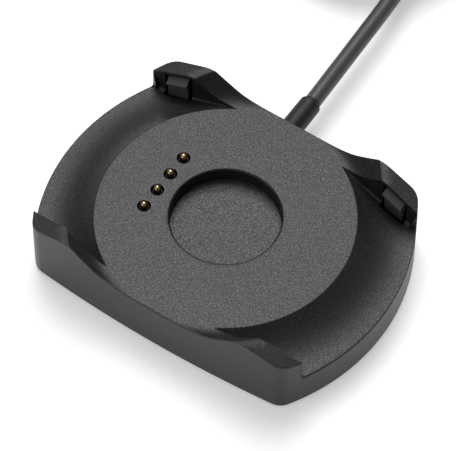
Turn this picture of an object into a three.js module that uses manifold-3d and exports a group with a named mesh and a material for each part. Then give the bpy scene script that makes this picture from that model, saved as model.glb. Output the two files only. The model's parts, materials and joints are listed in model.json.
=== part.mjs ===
// Charging dock for a round GPS running watch, with its USB lead.
// Millimetres, +Z up. The origin is on the desk under the middle of the dock.
// +X runs along the watch's strap, and +Y runs towards the back, where the lead comes out.
import * as THREE from 'three';
import { mergeVertices } from 'three/addons/utils/BufferGeometryUtils.js';
import Module from 'manifold-3d';

const wasm = await Module();
wasm.setup();

// How many flats a full turn is made of, on large, small and tiny round pieces.
const ARC_STEPS = 48;
const SMALL_STEPS = 18;
const TINY_STEPS = 10;

const DEG = Math.PI / 180;
// The gap between pieces that meet.
const FIT_GAP = 0.3;
// A reach well beyond the dock, for the bodies that cut it.
const FAR = 60;

// Plan outline: two bulging long sides, two round ends and four rounded corners.
const HALF_LENGTH = 31.3;
const HALF_WIDTH = 22.15;
const SIDE_RADIUS = 249;
const END_RADIUS = 36.6;
const CORNER_RADIUS = 3.2;

// Heights above the desk.
const BASE_Z = 0.6;
const DECK_Z = BASE_Z + 10.4;
const RIM_Z = BASE_Z + 7.0;
const CREST_Z = BASE_Z + 14.4;

// The round seat, the strap troughs beside it and the slopes that rise to the posts.
const SEAT_RADIUS = 22.1;
const TROUGH_END_RADIUS = 31.3;
const TROUGH_DROP = DECK_Z - RIM_Z;
const TROUGH_RUN = TROUGH_END_RADIUS - SEAT_RADIUS;
const TROUGH_ARC = (TROUGH_RUN ** 2 + TROUGH_DROP ** 2) / (2 * TROUGH_DROP);
const SLOPE_START = 22.0;
const SLOPE_FILLET = 3.9;
const SLOPE_ANGLE = 50 * DEG;

// Posts: the inner wall arc, the falling top and the small tilted facet at the crest.
const INNER_HALF_WIDTH = 19.7;
const INNER_WALL_RADIUS = 168;
const POST_FALL_START = 18.0;
const POST_FALL = 0.33;
const FACET_FALL = 0.25;
const FACET_OUTER_Y = 21.6;
const FACET_START_Y = 15;

// Shells.
const OUTER_WALL = 1.2;
const LIP = 0.2;
const LIP_GROOVE = 0.15;
const DECK_INSET = OUTER_WALL + FIT_GAP;
const DECK_WALL = 1.4;
const DECK_SKIN = 1.6;
const COVER_THICKNESS = 1.6;
const COVER_TOP_Z = BASE_Z + COVER_THICKNESS;
const DECK_BOTTOM_Z = COVER_TOP_Z + FIT_GAP;

// Recess in the middle of the seat, for the raised sensor window on the watch's back.
const RECESS_RADIUS = 9.45;
const RECESS_CHAMFER = 0.35;
const RECESS_DEPTH = 3.0;
const RECESS_FLOOR_Z = DECK_Z - RECESS_DEPTH;

// Spring pins.
const PIN_X = -12.5;
const PIN_PITCH = 3.93;
const PIN_COUNT = 4;
const PIN_WINDOW_RADIUS = 1.1;
const BARREL_RADIUS = 0.95;
const BARREL_BORE = 0.72;
const PLUNGER_RADIUS = 0.6;
const PLUNGER_HEAD_RADIUS = 0.66;
const PLUNGER_HEAD_HEIGHT = 0.9;
const PLUNGER_PROUD = 1.0;
const SPRING_RADIUS = 0.5;
const SPRING_WIRE_RADIUS = 0.09;
const SPRING_TURNS = 5;

// Circuit board.
const BOARD_X = -12;
const BOARD_WIDTH = 16;
const BOARD_LENGTH = 18;
const BOARD_THICKNESS = 1.0;
const BOARD_Z = 3.5;
const BOARD_TOP_Z = BOARD_Z + BOARD_THICKNESS;
const BOARD_HOLE_RADIUS = 0.8;
const BOARD_HOLE_Y = 4.4;
const BOARD_HOLE_EDGE = 1.6;
const BOARD_POST_RADIUS = 1.3;
const BOARD_POST_EDGE = 2;
const WIRE_RADIUS = 0.4;
const WIRE_PAD_X = BOARD_X + 3;
const WIRE_PAD_PITCH = 1.2;
const WIRE_END_PITCH = 1.1;
const WIRE_LEAD_IN = 3;

// Snap latches, one in each post.
const LATCH_X = 21.9;
const LATCH_Y = 18.22;
const LATCH_TURN = Math.asin(LATCH_X / INNER_WALL_RADIUS);
const LATCH_AXIS_Z = BASE_Z + 3.0;
const LATCH_HALF_WIDTH = 1.95;
const LATCH_THICKNESS = 0.9;
const LATCH_FRONT = -0.3;
const LATCH_PIVOT_RADIUS = 0.9;
const NOSE_REACH = -1.0;
const NOSE_UNDER_Z = 7.0;
const NOSE_LOWER_Z = 7.7;
const NOSE_UPPER_Z = 8.2;
const LATCH_SHOULDER_Z = 8.5;
const LATCH_TOP_Z = 9.0;
const LATCH_ROOT_Z = 5;
const WINDOW_HALF_WIDTH = 2.6;
const WINDOW_FRONT = -1.0;
const WINDOW_BACK = 2.4;
const WINDOW_OUTER_TOP_Z = BASE_Z + 11.6;
const WINDOW_INNER_TOP_Z = BASE_Z + 13.2;

// Fasteners and feet.
const SCREW_X = 13.5;
const SCREW_Y = 15.5;
const SCREW_RADIUS = 1.0;
const SCREW_HEAD_RADIUS = 1.9;
const SCREW_HEAD_HEIGHT = 1.2;
const SCREW_HEAD_Z = BASE_Z + 0.2;
const SCREW_TOP_Z = DECK_Z - 2.6;
const CROSS_HALF_LENGTH = 1.2;
const CROSS_HALF_WIDTH = 0.25;
const CROSS_DEPTH = 0.6;
const BOSS_RADIUS = 2.4;
const BOSS_TOP_Z = DECK_Z - 1;
const BOSS_HOLE_TOP_Z = DECK_Z - 2.2;
const COLLAR_RADIUS = BOSS_RADIUS + 0.6;
const COLLAR_HEIGHT = 1.4;
const SCREW_SEAT_Z = BASE_Z + 1.5;
const FOOT_X = 21;
const FOOT_Y = 12.5;
const FOOT_RADIUS = 3.6;
const FOOT_RECESS = 0.8;

// Lead: where it comes out, its coil and its plug.
const LEAD_X = -2.8;
const LEAD_Z = BASE_Z + 5.0;
const LEAD_RADIUS = 1.5;
const BOOT_RADIUS = 2.0;
const BOOT_NECK_RADIUS = 1.8;
const BOOT_END_Y = 30.8;
const BOOT_INNER_Y = 17.0;
const BOOT_COLLAR_RADIUS = 2.7;
const BOOT_COLLAR_Y = 18.9;
const BOOT_HOLE_RADIUS = BOOT_RADIUS + 0.1;
const COIL_SIDE_X = -3.6;
const COIL_RADIUS = 17.5;
const COIL_HALF_SECTION = 4.6;
const COIL_Z = 0.9;
const COIL_CENTRE = new THREE.Vector3(COIL_SIDE_X - COIL_RADIUS, 77.5, COIL_Z + COIL_HALF_SECTION);
const PLUG_Z = 3.8;
const PLUG_Y = 111.6;
const PLUG_START_X = -21;

const SIDES = [['left', -1], ['right', 1]];
const ENDS = [['front', -1], ['back', 1]];

// ---------- materials ----------

const finish = (color, roughness, metalness) =>
  new THREE.MeshStandardMaterial({ color, roughness, metalness });

const sparkBlack = finish('#3c3d40', 0.75, 0);
const satinBlack = finish('#333538', 0.5, 0);
const moulding = finish('#26272a', 0.6, 0);
const rubber = finish('#1d1d1f', 0.85, 0);
const jacket = finish('#2b2c2e', 0.55, 0);
const gold = finish('#d9b25a', 0.3, 1);
const brass = finish('#8d7a4a', 0.4, 1);
const steel = finish('#b9bcc0', 0.35, 1);
const boardGreen = finish('#1f5a36', 0.55, 0);
const chipBlack = finish('#161618', 0.6, 0);
const ceramic = finish('#b49a74', 0.6, 0);
const WIRE_COLOURS = [['red', '#a3221c'], ['white', '#dcdcd6'], ['green', '#1d7a3c'], ['black', '#151515']];

// ---------- solids ----------

function signedVolume(positions, triangles) {
  const [a, b, c] = [new THREE.Vector3(), new THREE.Vector3(), new THREE.Vector3()];
  let total = 0;
  for (let i = 0; i < triangles.length; i += 3) {
    a.fromArray(positions, 3 * triangles[i]);
    b.fromArray(positions, 3 * triangles[i + 1]);
    c.fromArray(positions, 3 * triangles[i + 2]);
    total += a.dot(b.cross(c));
  }
  return total / 6;
}

function solid(geometry) {
  const bare = geometry.clone();
  bare.deleteAttribute('normal');
  bare.deleteAttribute('uv');
  const merged = mergeVertices(bare, 1e-4);
  const positions = merged.getAttribute('position').array;
  const triangles = [];
  for (let i = 0; i < merged.index.count; i += 3) {
    const [p, q, r] = [0, 1, 2].map((k) => merged.index.getX(i + k));
    if (p !== q && q !== r && r !== p) triangles.push(p, q, r);
  }
  if (signedVolume(positions, triangles) < 0) triangles.reverse();
  return new wasm.Manifold(new wasm.Mesh({
    numProp: 3,
    vertProperties: new Float32Array(positions),
    triVerts: new Uint32Array(triangles),
  }));
}

function geometryOf(body) {
  const mesh = body.getMesh();
  const geometry = new THREE.BufferGeometry();
  const positions = new Float32Array(mesh.vertProperties.length / mesh.numProp * 3);
  for (let i = 0; i < positions.length / 3; i += 1) {
    for (let k = 0; k < 3; k += 1) positions[3 * i + k] = mesh.vertProperties[mesh.numProp * i + k];
  }
  geometry.setAttribute('position', new THREE.BufferAttribute(positions, 3));
  geometry.setIndex(Array.from(mesh.triVerts));
  geometry.computeVertexNormals();
  return geometry;
}

const union = (parts) => parts.reduce((sum, part) => sum.add(part));

// A profile of [radius, z] pairs turned about a vertical line through (x, y).
function turned(profile, steps = ARC_STEPS, x = 0, y = 0) {
  const geometry = new THREE.LatheGeometry(profile.map(([r, z]) => new THREE.Vector2(r, z)), steps);
  geometry.rotateX(Math.PI / 2);
  return solid(geometry.translate(x, y, 0));
}

// The same, turned about a line along Y at (x, z), where each pair is [radius, y].
function turnedAlongY(profile, x, z, steps = SMALL_STEPS) {
  const geometry = new THREE.LatheGeometry(profile.map(([r, y]) => new THREE.Vector2(r, y)), steps);
  return solid(geometry.translate(x, 0, z));
}

const disc = (radius, z0, z1, x = 0, y = 0, steps = SMALL_STEPS) =>
  turned([[0, z0], [radius, z0], [radius, z1], [0, z1]], steps, x, y);

function box(x0, x1, y0, y1, z0, z1) {
  const geometry = new THREE.BoxGeometry(x1 - x0, y1 - y0, z1 - z0);
  return solid(geometry.translate((x0 + x1) / 2, (y0 + y1) / 2, (z0 + z1) / 2));
}

// A plan outline raised from z0 to z1.
function raised(points, z0, z1) {
  const shape = new THREE.Shape(points);
  const geometry = new THREE.ExtrudeGeometry(shape, { depth: z1 - z0, bevelEnabled: false });
  return solid(geometry.translate(0, 0, z0));
}

// An outline in X and Z, carried along Y from y0 to y1.
function alongY(points, y0, y1) {
  const shape = new THREE.Shape(points.map(([x, z]) => new THREE.Vector2(x, z)));
  const geometry = new THREE.ExtrudeGeometry(shape, { depth: y1 - y0, bevelEnabled: false });
  geometry.rotateX(Math.PI / 2);
  return solid(geometry.translate(0, y1, 0));
}

// An outline in Y and Z, carried along X from x0 to x1.
function alongX(points, x0, x1) {
  const shape = new THREE.Shape(points.map(([y, z]) => new THREE.Vector2(y, z)));
  const geometry = new THREE.ExtrudeGeometry(shape, { depth: x1 - x0, bevelEnabled: false });
  geometry.rotateZ(Math.PI / 2);
  geometry.rotateY(Math.PI / 2);
  return solid(geometry.translate(x0, 0, 0));
}

function roundedRectangle(width, height, radius) {
  const shape = new THREE.Shape();
  const [x, y] = [width / 2 - radius, height / 2 - radius];
  shape.absarc(x, y, radius, 0, Math.PI / 2);
  shape.absarc(-x, y, radius, Math.PI / 2, Math.PI);
  shape.absarc(-x, -y, radius, Math.PI, 1.5 * Math.PI);
  shape.absarc(x, -y, radius, 1.5 * Math.PI, 2 * Math.PI);
  return shape;
}

// A round tube along a curve, closed at both ends.
function tube(curve, radius, steps, sides = 8) {
  const section = new THREE.Shape();
  section.absarc(0, 0, radius, 0, 2 * Math.PI);
  const outline = new THREE.Shape(section.getSpacedPoints(sides).slice(0, sides));
  return new THREE.ExtrudeGeometry(outline, { steps, extrudePath: curve, bevelEnabled: false });
}

// ---------- plan outline ----------

const sideCentreY = HALF_WIDTH - SIDE_RADIUS;
const endCentreX = HALF_LENGTH - END_RADIUS;

// The centre of a corner arc lies at CORNER_RADIUS inside both the side arc and the end arc.
function cornerCentre() {
  const [toSide, toEnd] = [SIDE_RADIUS - CORNER_RADIUS, END_RADIUS - CORNER_RADIUS];
  const span = Math.hypot(endCentreX, sideCentreY);
  const along = (toEnd ** 2 - toSide ** 2 + span ** 2) / (2 * span);
  const across = Math.sqrt(toEnd ** 2 - along ** 2);
  const unit = new THREE.Vector2(-endCentreX, sideCentreY).divideScalar(span);
  return new THREE.Vector2(endCentreX + along * unit.x - across * unit.y, along * unit.y + across * unit.x);
}

const corner = cornerCentre();
const endAngle = Math.atan2(corner.y, corner.x - endCentreX);
const sideAngle = Math.atan2(corner.y - sideCentreY, corner.x);

function arc(x, y, radius, from, to, steps) {
  const points = [];
  for (let i = 0; i <= steps; i += 1) {
    const angle = from + (to - from) * i / steps;
    points.push(new THREE.Vector2(x + radius * Math.cos(angle), y + radius * Math.sin(angle)));
  }
  return points;
}

// The dock's outline seen from above, moved inwards by `inset`.
function outline(inset) {
  const quarter = [
    ...arc(endCentreX, 0, END_RADIUS - inset, 0, endAngle, 8),
    ...arc(corner.x, corner.y, CORNER_RADIUS - inset, endAngle, sideAngle, 5).slice(1),
    ...arc(0, sideCentreY, SIDE_RADIUS - inset, sideAngle, Math.PI / 2, 5).slice(1),
  ];
  const mirrored = (points, sx, sy) => points.map((p) => new THREE.Vector2(sx * p.x, sy * p.y));
  const left = mirrored(quarter, -1, 1).reverse().slice(1);
  const frontLeft = mirrored(quarter, -1, -1).slice(1);
  const frontRight = mirrored(quarter, 1, -1).reverse().slice(1, -1);
  return [...quarter, ...left, ...frontLeft, ...frontRight];
}

const plan = (inset, z0, z1) => raised(outline(inset), z0, z1);

// ---------- outer form ----------

// The trough's floor falls from the seat's edge and levels out at the rim.
function troughProfile(lower, steps = 6) {
  const centreZ = RIM_Z + TROUGH_ARC;
  const points = [];
  for (let i = 0; i <= steps; i += 1) {
    const radius = SEAT_RADIUS + TROUGH_RUN * i / steps;
    const drop = Math.sqrt(TROUGH_ARC ** 2 - (TROUGH_END_RADIUS - radius) ** 2);
    points.push([radius, centreZ - drop - lower]);
  }
  return points;
}

// The slope from the seat up to the crest: a fillet, then a straight cone.
function slopeProfile(lower, steps = 4) {
  const points = [];
  for (let i = 0; i <= steps; i += 1) {
    const angle = SLOPE_ANGLE * i / steps;
    const radius = SLOPE_START + SLOPE_FILLET * Math.sin(angle);
    points.push([radius, DECK_Z + SLOPE_FILLET * (1 - Math.cos(angle)) - lower]);
  }
  const [radius, z] = points[points.length - 1];
  const rise = 6;
  points.push([radius + rise / Math.tan(SLOPE_ANGLE), z + rise]);
  return points;
}

// Everything outside the posts' inner wall arcs, front and back.
function wallRegion(widen) {
  const [reach, step] = [32, 4];
  const back = [];
  for (let x = -reach; x <= reach; x += step) {
    back.push(new THREE.Vector2(x, INNER_HALF_WIDTH + widen - x ** 2 / (2 * INNER_WALL_RADIUS)));
  }
  back.push(new THREE.Vector2(reach, FAR), new THREE.Vector2(-reach, FAR));
  const front = back.map((p) => new THREE.Vector2(p.x, -p.y)).reverse();
  return raised(back, 0, FAR).add(raised(front, 0, FAR));
}

// The dock's whole outer form, lowered by `lower`, with its post walls moved outwards by `widen`.
function outerForm(lower, widen, inset = 0) {
  const below = [[FAR, 0], [0, 0]];
  const seatTop = [0, DECK_Z - lower];
  const floor = turned([seatTop, ...troughProfile(lower), [FAR, RIM_Z - lower], ...below]);
  const bowl = turned([seatTop, ...slopeProfile(lower), [FAR, FAR], ...below]);
  const top = CREST_Z - lower;
  const farTop = top - POST_FALL * (FAR - POST_FALL_START);
  const roof = alongY([
    [-FAR, 0], [FAR, 0], [FAR, farTop], [0, top + POST_FALL * POST_FALL_START], [-FAR, farTop],
  ], -FAR, FAR);
  const facetTop = (y) => top - FACET_FALL * (FACET_OUTER_Y - y);
  const facets = union([1, -1].map((side) => alongX([
    [side * FACET_START_Y, 0], [side * FAR, 0],
    [side * FAR, facetTop(FAR)], [side * FACET_START_Y, facetTop(FACET_START_Y)],
  ], -FAR, FAR)));
  const walls = wallRegion(widen).intersect(bowl).intersect(roof).intersect(facets);
  return floor.add(walls).intersect(plan(inset, BASE_Z, FAR));
}

// ---------- shells ----------

// The four posts, as mirrored copies of the one at the back right.
const posts = SIDES.flatMap(([side, sx]) => ENDS.map(([end, sy]) => ({ name: `${end}_${side}`, sx, sy })));

// The opening behind each latch, in the latch's own frame: x along the wall, y outwards.
// Its top falls with the post's.
function latchWindow() {
  const shape = new THREE.Shape([
    new THREE.Vector2(-WINDOW_HALF_WIDTH, 0),
    new THREE.Vector2(WINDOW_HALF_WIDTH, 0),
    new THREE.Vector2(WINDOW_HALF_WIDTH, WINDOW_OUTER_TOP_Z),
    new THREE.Vector2(-WINDOW_HALF_WIDTH, WINDOW_INNER_TOP_Z),
  ]);
  const depth = WINDOW_BACK - WINDOW_FRONT;
  const geometry = new THREE.ExtrudeGeometry(shape, { depth, bevelEnabled: false });
  geometry.rotateX(Math.PI / 2);
  return geometry.translate(0, WINDOW_BACK, 0);
}

// Moves a geometry from the latch's own frame to the post named by sx and sy.
function atPost(geometry, sx, sy, z = 0) {
  const placed = geometry.clone().rotateZ(-LATCH_TURN).translate(LATCH_X, LATCH_Y, z);
  return placed.scale(sx, sy, 1);
}

// The hole that the lead's boot passes through.
const bootHole = () => turnedAlongY([
  [0, 0], [BOOT_HOLE_RADIUS, 0], [BOOT_HOLE_RADIUS, FAR], [0, FAR],
], LEAD_X, LEAD_Z);

// The outer wall. It stops short of the deck's lip, which leaves the parting groove.
function outerShell() {
  const ring = plan(0, BASE_Z, FAR).subtract(plan(OUTER_WALL, 0, FAR + 1));
  return ring.intersect(outerForm(LIP + LIP_GROOVE, LIP + LIP_GROOVE)).subtract(bootHole());
}

// The hollow under the deck, which follows the seat and the troughs at the deck's skin thickness.
function deckHollow() {
  const recessRadius = RECESS_RADIUS + DECK_SKIN;
  const recessZ = RECESS_FLOOR_Z - DECK_SKIN;
  const under = turned([
    [0, recessZ], [recessRadius, recessZ], [recessRadius, DECK_Z - DECK_SKIN],
    ...troughProfile(DECK_SKIN).map(([r, z]) => [r - DECK_SKIN / 2, z]),
    [FAR, RIM_Z - DECK_SKIN], [FAR, 0], [0, 0],
  ]);
  return under.intersect(plan(DECK_INSET + DECK_WALL, 0, FAR));
}

function screwBosses() {
  return union(posts.map(({ sx, sy }) => {
    const [x, y] = [sx * SCREW_X, sy * SCREW_Y];
    const pillar = disc(BOSS_RADIUS, COVER_TOP_Z + COLLAR_HEIGHT + FIT_GAP, BOSS_TOP_Z, x, y);
    return pillar.subtract(disc(SCREW_RADIUS + 0.1, 0, BOSS_HOLE_TOP_Z, x, y));
  }));
}

function topDeck() {
  const form = outerForm(0, 0);
  const beyond = -2;
  const lip = form.subtract(outerForm(LIP, LIP, beyond));
  const inner = form.intersect(plan(DECK_INSET, DECK_BOTTOM_Z, FAR));
  const recess = turned([
    [0, RECESS_FLOOR_Z], [RECESS_RADIUS, RECESS_FLOOR_Z], [RECESS_RADIUS, DECK_Z - RECESS_CHAMFER],
    [RECESS_RADIUS + RECESS_CHAMFER + 1, DECK_Z + 1], [0, DECK_Z + 1],
  ]);
  let deck = lip.add(inner).subtract(deckHollow()).subtract(recess).add(screwBosses());
  for (const y of pinRows()) deck = deck.subtract(disc(PIN_WINDOW_RADIUS, 0, FAR, PIN_X, y));
  for (const { sx, sy } of posts) deck = deck.subtract(solid(atPost(latchWindow(), sx, sy)));
  return deck.subtract(bootHole());
}

// The flat bottom, with collars under the screw bosses, seats for the feet and posts for the board.
function bottomCover() {
  const root = COVER_TOP_Z - 0.5;
  let cover = plan(DECK_INSET, BASE_Z, COVER_TOP_Z);
  for (const { sx, sy } of posts) {
    const [x, y] = [sx * SCREW_X, sy * SCREW_Y];
    const [footX, footY] = [sx * FOOT_X, sy * FOOT_Y];
    cover = cover.add(disc(COLLAR_RADIUS, root, COVER_TOP_Z + COLLAR_HEIGHT, x, y));
    cover = cover.subtract(disc(SCREW_HEAD_RADIUS + 0.2, 0, SCREW_SEAT_Z, x, y));
    cover = cover.subtract(disc(SCREW_RADIUS + 0.15, 0, FAR, x, y, TINY_STEPS));
    cover = cover.subtract(disc(FOOT_RADIUS + 0.2, 0, BASE_Z + FOOT_RECESS, footX, footY));
  }
  for (const { sx, sy } of posts) {
    const x = BOARD_X + sx * (BOARD_WIDTH / 2 - BOARD_POST_EDGE);
    const y = sy * (BOARD_LENGTH / 2 - BOARD_POST_EDGE);
    cover = cover.add(disc(BOARD_POST_RADIUS, root, BOARD_Z - 0.1, x, y, TINY_STEPS));
  }
  return cover;
}

// ---------- pins and electronics ----------

function pinRows() {
  return Array.from({ length: PIN_COUNT }, (_, i) => (i - (PIN_COUNT - 1) / 2) * PIN_PITCH);
}

const BARREL_BOTTOM_Z = BOARD_TOP_Z + 0.1;
const BARREL_TOP_Z = DECK_Z - 0.5;
const BARREL_FLOOR_Z = BARREL_BOTTOM_Z + 0.4;
const PLUNGER_BOTTOM_Z = 7.6;
const PLUNGER_TIP_Z = DECK_Z + PLUNGER_PROUD;
const BLOCK_HALF_WIDTH = 2.6;
const BLOCK_TOP_Z = DECK_Z - DECK_SKIN - 0.1;

function pinBlock() {
  const halfLength = (PIN_COUNT * PIN_PITCH) / 2 + 0.4;
  let block = box(PIN_X - BLOCK_HALF_WIDTH, PIN_X + BLOCK_HALF_WIDTH, -halfLength, halfLength,
    BARREL_BOTTOM_Z + 0.3, BLOCK_TOP_Z);
  // The block is notched where the underside of the sensor recess comes close.
  block = block.subtract(disc(RECESS_RADIUS + DECK_SKIN + 0.2, RECESS_FLOOR_Z - DECK_SKIN - 0.2, FAR));
  for (const y of pinRows()) {
    block = block.subtract(disc(BARREL_RADIUS + 0.05, 0, FAR, PIN_X, y, TINY_STEPS));
  }
  return block;
}

const barrel = (y) => turned([
  [0, BARREL_BOTTOM_Z], [BARREL_RADIUS, BARREL_BOTTOM_Z], [BARREL_RADIUS, BARREL_TOP_Z],
  [PLUNGER_RADIUS + 0.03, BARREL_TOP_Z], [PLUNGER_RADIUS + 0.03, BARREL_TOP_Z - 0.3],
  [BARREL_BORE, BARREL_TOP_Z - 0.5], [BARREL_BORE, BARREL_FLOOR_Z], [0, BARREL_FLOOR_Z],
], SMALL_STEPS, PIN_X, y);

function plunger(y) {
  const domeZ = PLUNGER_TIP_Z - PLUNGER_RADIUS;
  const dome = [0, 22.5, 45, 67.5].map((angle) => [
    PLUNGER_RADIUS * Math.cos(angle * DEG), domeZ + PLUNGER_RADIUS * Math.sin(angle * DEG),
  ]);
  const shoulderZ = PLUNGER_BOTTOM_Z + PLUNGER_HEAD_HEIGHT;
  return turned([
    [0, PLUNGER_BOTTOM_Z], [PLUNGER_HEAD_RADIUS, PLUNGER_BOTTOM_Z], [PLUNGER_HEAD_RADIUS, shoulderZ],
    [PLUNGER_RADIUS, shoulderZ + 0.2], ...dome, [0, PLUNGER_TIP_Z],
  ], SMALL_STEPS, PIN_X, y);
}

class Helix extends THREE.Curve {
  constructor(radius, z0, z1, turns) {
    super();
    Object.assign(this, { radius, z0, z1, turns });
  }

  getPoint(t, target = new THREE.Vector3()) {
    const angle = 2 * Math.PI * this.turns * t;
    return target.set(
      this.radius * Math.cos(angle), this.radius * Math.sin(angle), this.z0 + (this.z1 - this.z0) * t,
    );
  }
}

function pinSpring(y) {
  const clear = SPRING_WIRE_RADIUS + 0.02;
  const [z0, z1] = [BARREL_FLOOR_Z + clear, PLUNGER_BOTTOM_Z - clear];
  const helix = new Helix(SPRING_RADIUS, z0, z1, SPRING_TURNS);
  return tube(helix, SPRING_WIRE_RADIUS, 6 * SPRING_TURNS, 4).translate(PIN_X, y, 0);
}

function circuitBoard() {
  let board = box(BOARD_X - BOARD_WIDTH / 2, BOARD_X + BOARD_WIDTH / 2, -BOARD_LENGTH / 2, BOARD_LENGTH / 2,
    BOARD_Z, BOARD_TOP_Z);
  const x = BOARD_X + BOARD_WIDTH / 2 - BOARD_HOLE_EDGE;
  for (const y of [-BOARD_HOLE_Y, BOARD_HOLE_Y]) {
    board = board.subtract(disc(BOARD_HOLE_RADIUS, 0, FAR, x, y, TINY_STEPS));
  }
  return board;
}

// A small component lying on the board.
const component = (x0, x1, y0, y1, height) =>
  box(x0, x1, y0, y1, BOARD_TOP_Z + 0.1, BOARD_TOP_Z + 0.1 + height);

// Each wire runs from a pad at the board's back edge to the inner face of the lead's boot.
function wire(index) {
  const padZ = BOARD_TOP_Z + WIRE_RADIUS + 0.1;
  const endX = LEAD_X + WIRE_END_PITCH * (index - (WIRE_COLOURS.length - 1) / 2);
  const start = new THREE.Vector3(WIRE_PAD_X + WIRE_PAD_PITCH * index, BOARD_LENGTH / 2 - 1, padZ);
  const end = new THREE.Vector3(endX, BOOT_INNER_Y - 0.1, LEAD_Z);
  const leadIn = new THREE.Vector3(0, WIRE_LEAD_IN, 0);
  const curve = new THREE.CubicBezierCurve3(start, start.clone().add(leadIn), end.clone().sub(leadIn), end);
  return tube(curve, WIRE_RADIUS, 10, 6);
}

// ---------- latches ----------

// One snap hook in its own frame: the pivot at the origin, x along the wall, y outwards.
// Above its root it slants with the post's falling top.
function latch() {
  const back = LATCH_FRONT + LATCH_THICKNESS;
  const width = 2 * LATCH_HALF_WIDTH;
  const finger = alongX([
    [LATCH_FRONT, 0], [back, 0], [back, LATCH_SHOULDER_Z], [back - 0.3, LATCH_TOP_Z],
    [NOSE_REACH, NOSE_UPPER_Z], [NOSE_REACH, NOSE_LOWER_Z], [LATCH_FRONT, NOSE_UNDER_Z],
  ], -LATCH_HALF_WIDTH, LATCH_HALF_WIDTH).warp((v) => {
    if (v[2] > LATCH_ROOT_Z) v[2] -= POST_FALL * v[0];
  });
  const pivot = new THREE.CylinderGeometry(LATCH_PIVOT_RADIUS, LATCH_PIVOT_RADIUS, width, TINY_STEPS);
  pivot.rotateZ(Math.PI / 2).translate(0, LATCH_FRONT + LATCH_THICKNESS / 2, 0);
  return finger.add(solid(pivot));
}

// ---------- fasteners, feet ----------

function screw(x, y) {
  const head = disc(SCREW_HEAD_RADIUS, SCREW_HEAD_Z, SCREW_HEAD_Z + SCREW_HEAD_HEIGHT, x, y);
  const shank = disc(SCREW_RADIUS, SCREW_HEAD_Z + 1, SCREW_TOP_Z, x, y, TINY_STEPS);
  const [long, short, top] = [CROSS_HALF_LENGTH, CROSS_HALF_WIDTH, SCREW_HEAD_Z + CROSS_DEPTH];
  const slot = box(x - long, x + long, y - short, y + short, 0, top);
  const crossSlot = box(x - short, x + short, y - long, y + long, 0, top);
  return head.add(shank).subtract(slot).subtract(crossSlot);
}

const FOOT_EDGE = 0.3;
const FOOT_TOP_Z = BASE_Z + FOOT_RECESS - 0.05;

const foot = (x, y) => turned([
  [0, 0], [FOOT_RADIUS - FOOT_EDGE, 0], [FOOT_RADIUS, FOOT_EDGE],
  [FOOT_RADIUS, FOOT_TOP_Z], [0, FOOT_TOP_Z],
], SMALL_STEPS, x, y);

// ---------- lead ----------

// The boot: a collar inside the wall, a neck through it and a nearly straight sleeve with a round end.
const strainRelief = () => turnedAlongY([
  [0, BOOT_INNER_Y], [BOOT_COLLAR_RADIUS, BOOT_INNER_Y], [BOOT_COLLAR_RADIUS, BOOT_COLLAR_Y],
  [BOOT_NECK_RADIUS, BOOT_COLLAR_Y],
  [BOOT_NECK_RADIUS, HALF_WIDTH + 0.1], [BOOT_RADIUS, HALF_WIDTH + 0.1],
  [BOOT_RADIUS - 0.06, BOOT_END_Y - 0.5], [BOOT_RADIUS - 0.2, BOOT_END_Y - 0.15],
  [BOOT_RADIUS - 0.5, BOOT_END_Y], [0, BOOT_END_Y],
], LEAD_X, LEAD_Z);

// From the boot to the coil's outer side, hand-laid: straight back, a touch towards the coil.
const NEAR_STRETCH = [
  [-2.8, 31.1, 5.6], [-2.9, 35.4, 5.6], [-3.0, 39.7, 5.6], [-3.1, 44.0, 5.6],
  [-3.2, 48.3, 5.6], [-3.3, 52.6, 5.6], [-3.45, 56.9, 5.55], [-3.6, 61.1, 5.5],
];

// From the coil's far side, round a bend and straight into the plug's own boot.
const FAR_STRETCH = [
  [-32.5, 98.9, 2.4], [-36.4, 98.7, 2.4], [-39.6, 100.8, 2.5], [-41.1, 104.4, 2.6],
  [-40.3, 108.2, 2.8], [-37.9, 110.6, 3.0], [-34.4, 111.5, 3.3],
  [-30.0, 111.6, 3.6], [-25.6, 111.6, 3.8], [-21.3, 111.6, 3.8],
];

const lead = (points, steps) =>
  tube(new THREE.CatmullRomCurve3(points.map((p) => new THREE.Vector3(...p))), LEAD_RADIUS, steps);

function leadCoil() {
  const [r0, r1] = [COIL_RADIUS - COIL_HALF_SECTION, COIL_RADIUS + COIL_HALF_SECTION];
  const [z0, z1] = [COIL_Z, COIL_Z + 2 * COIL_HALF_SECTION];
  const soft = 1.5;
  const section = [
    [r0 + soft, z0], [r1 - soft, z0], [r1, z0 + soft], [r1, z1 - soft],
    [r1 - soft, z1], [r0 + soft, z1], [r0, z1 - soft], [r0, z0 + soft], [r0 + soft, z0],
  ];
  return turned(section, 32, COIL_CENTRE.x, COIL_CENTRE.y);
}

const TIE_THICKNESS = 0.55;
const TIE_HALF_WIDTH = 2.5;
// The coil curves inside the strap's width, so the opening is a little wider than its section.
const TIE_SLACK = 0.35;

// A strap round the coil's section on its left side.
function coilTie() {
  const inner = COIL_HALF_SECTION + FIT_GAP;
  const outer = inner + TIE_THICKNESS;
  const x = COIL_CENTRE.x - COIL_RADIUS;
  const { y, z } = COIL_CENTRE;
  const around = (half, reach) => box(
    x - half, x + half + TIE_SLACK, y - reach, y + reach, z - half, z + half,
  );
  return around(outer, TIE_HALF_WIDTH).subtract(around(inner, 2 * TIE_HALF_WIDTH));
}

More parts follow.
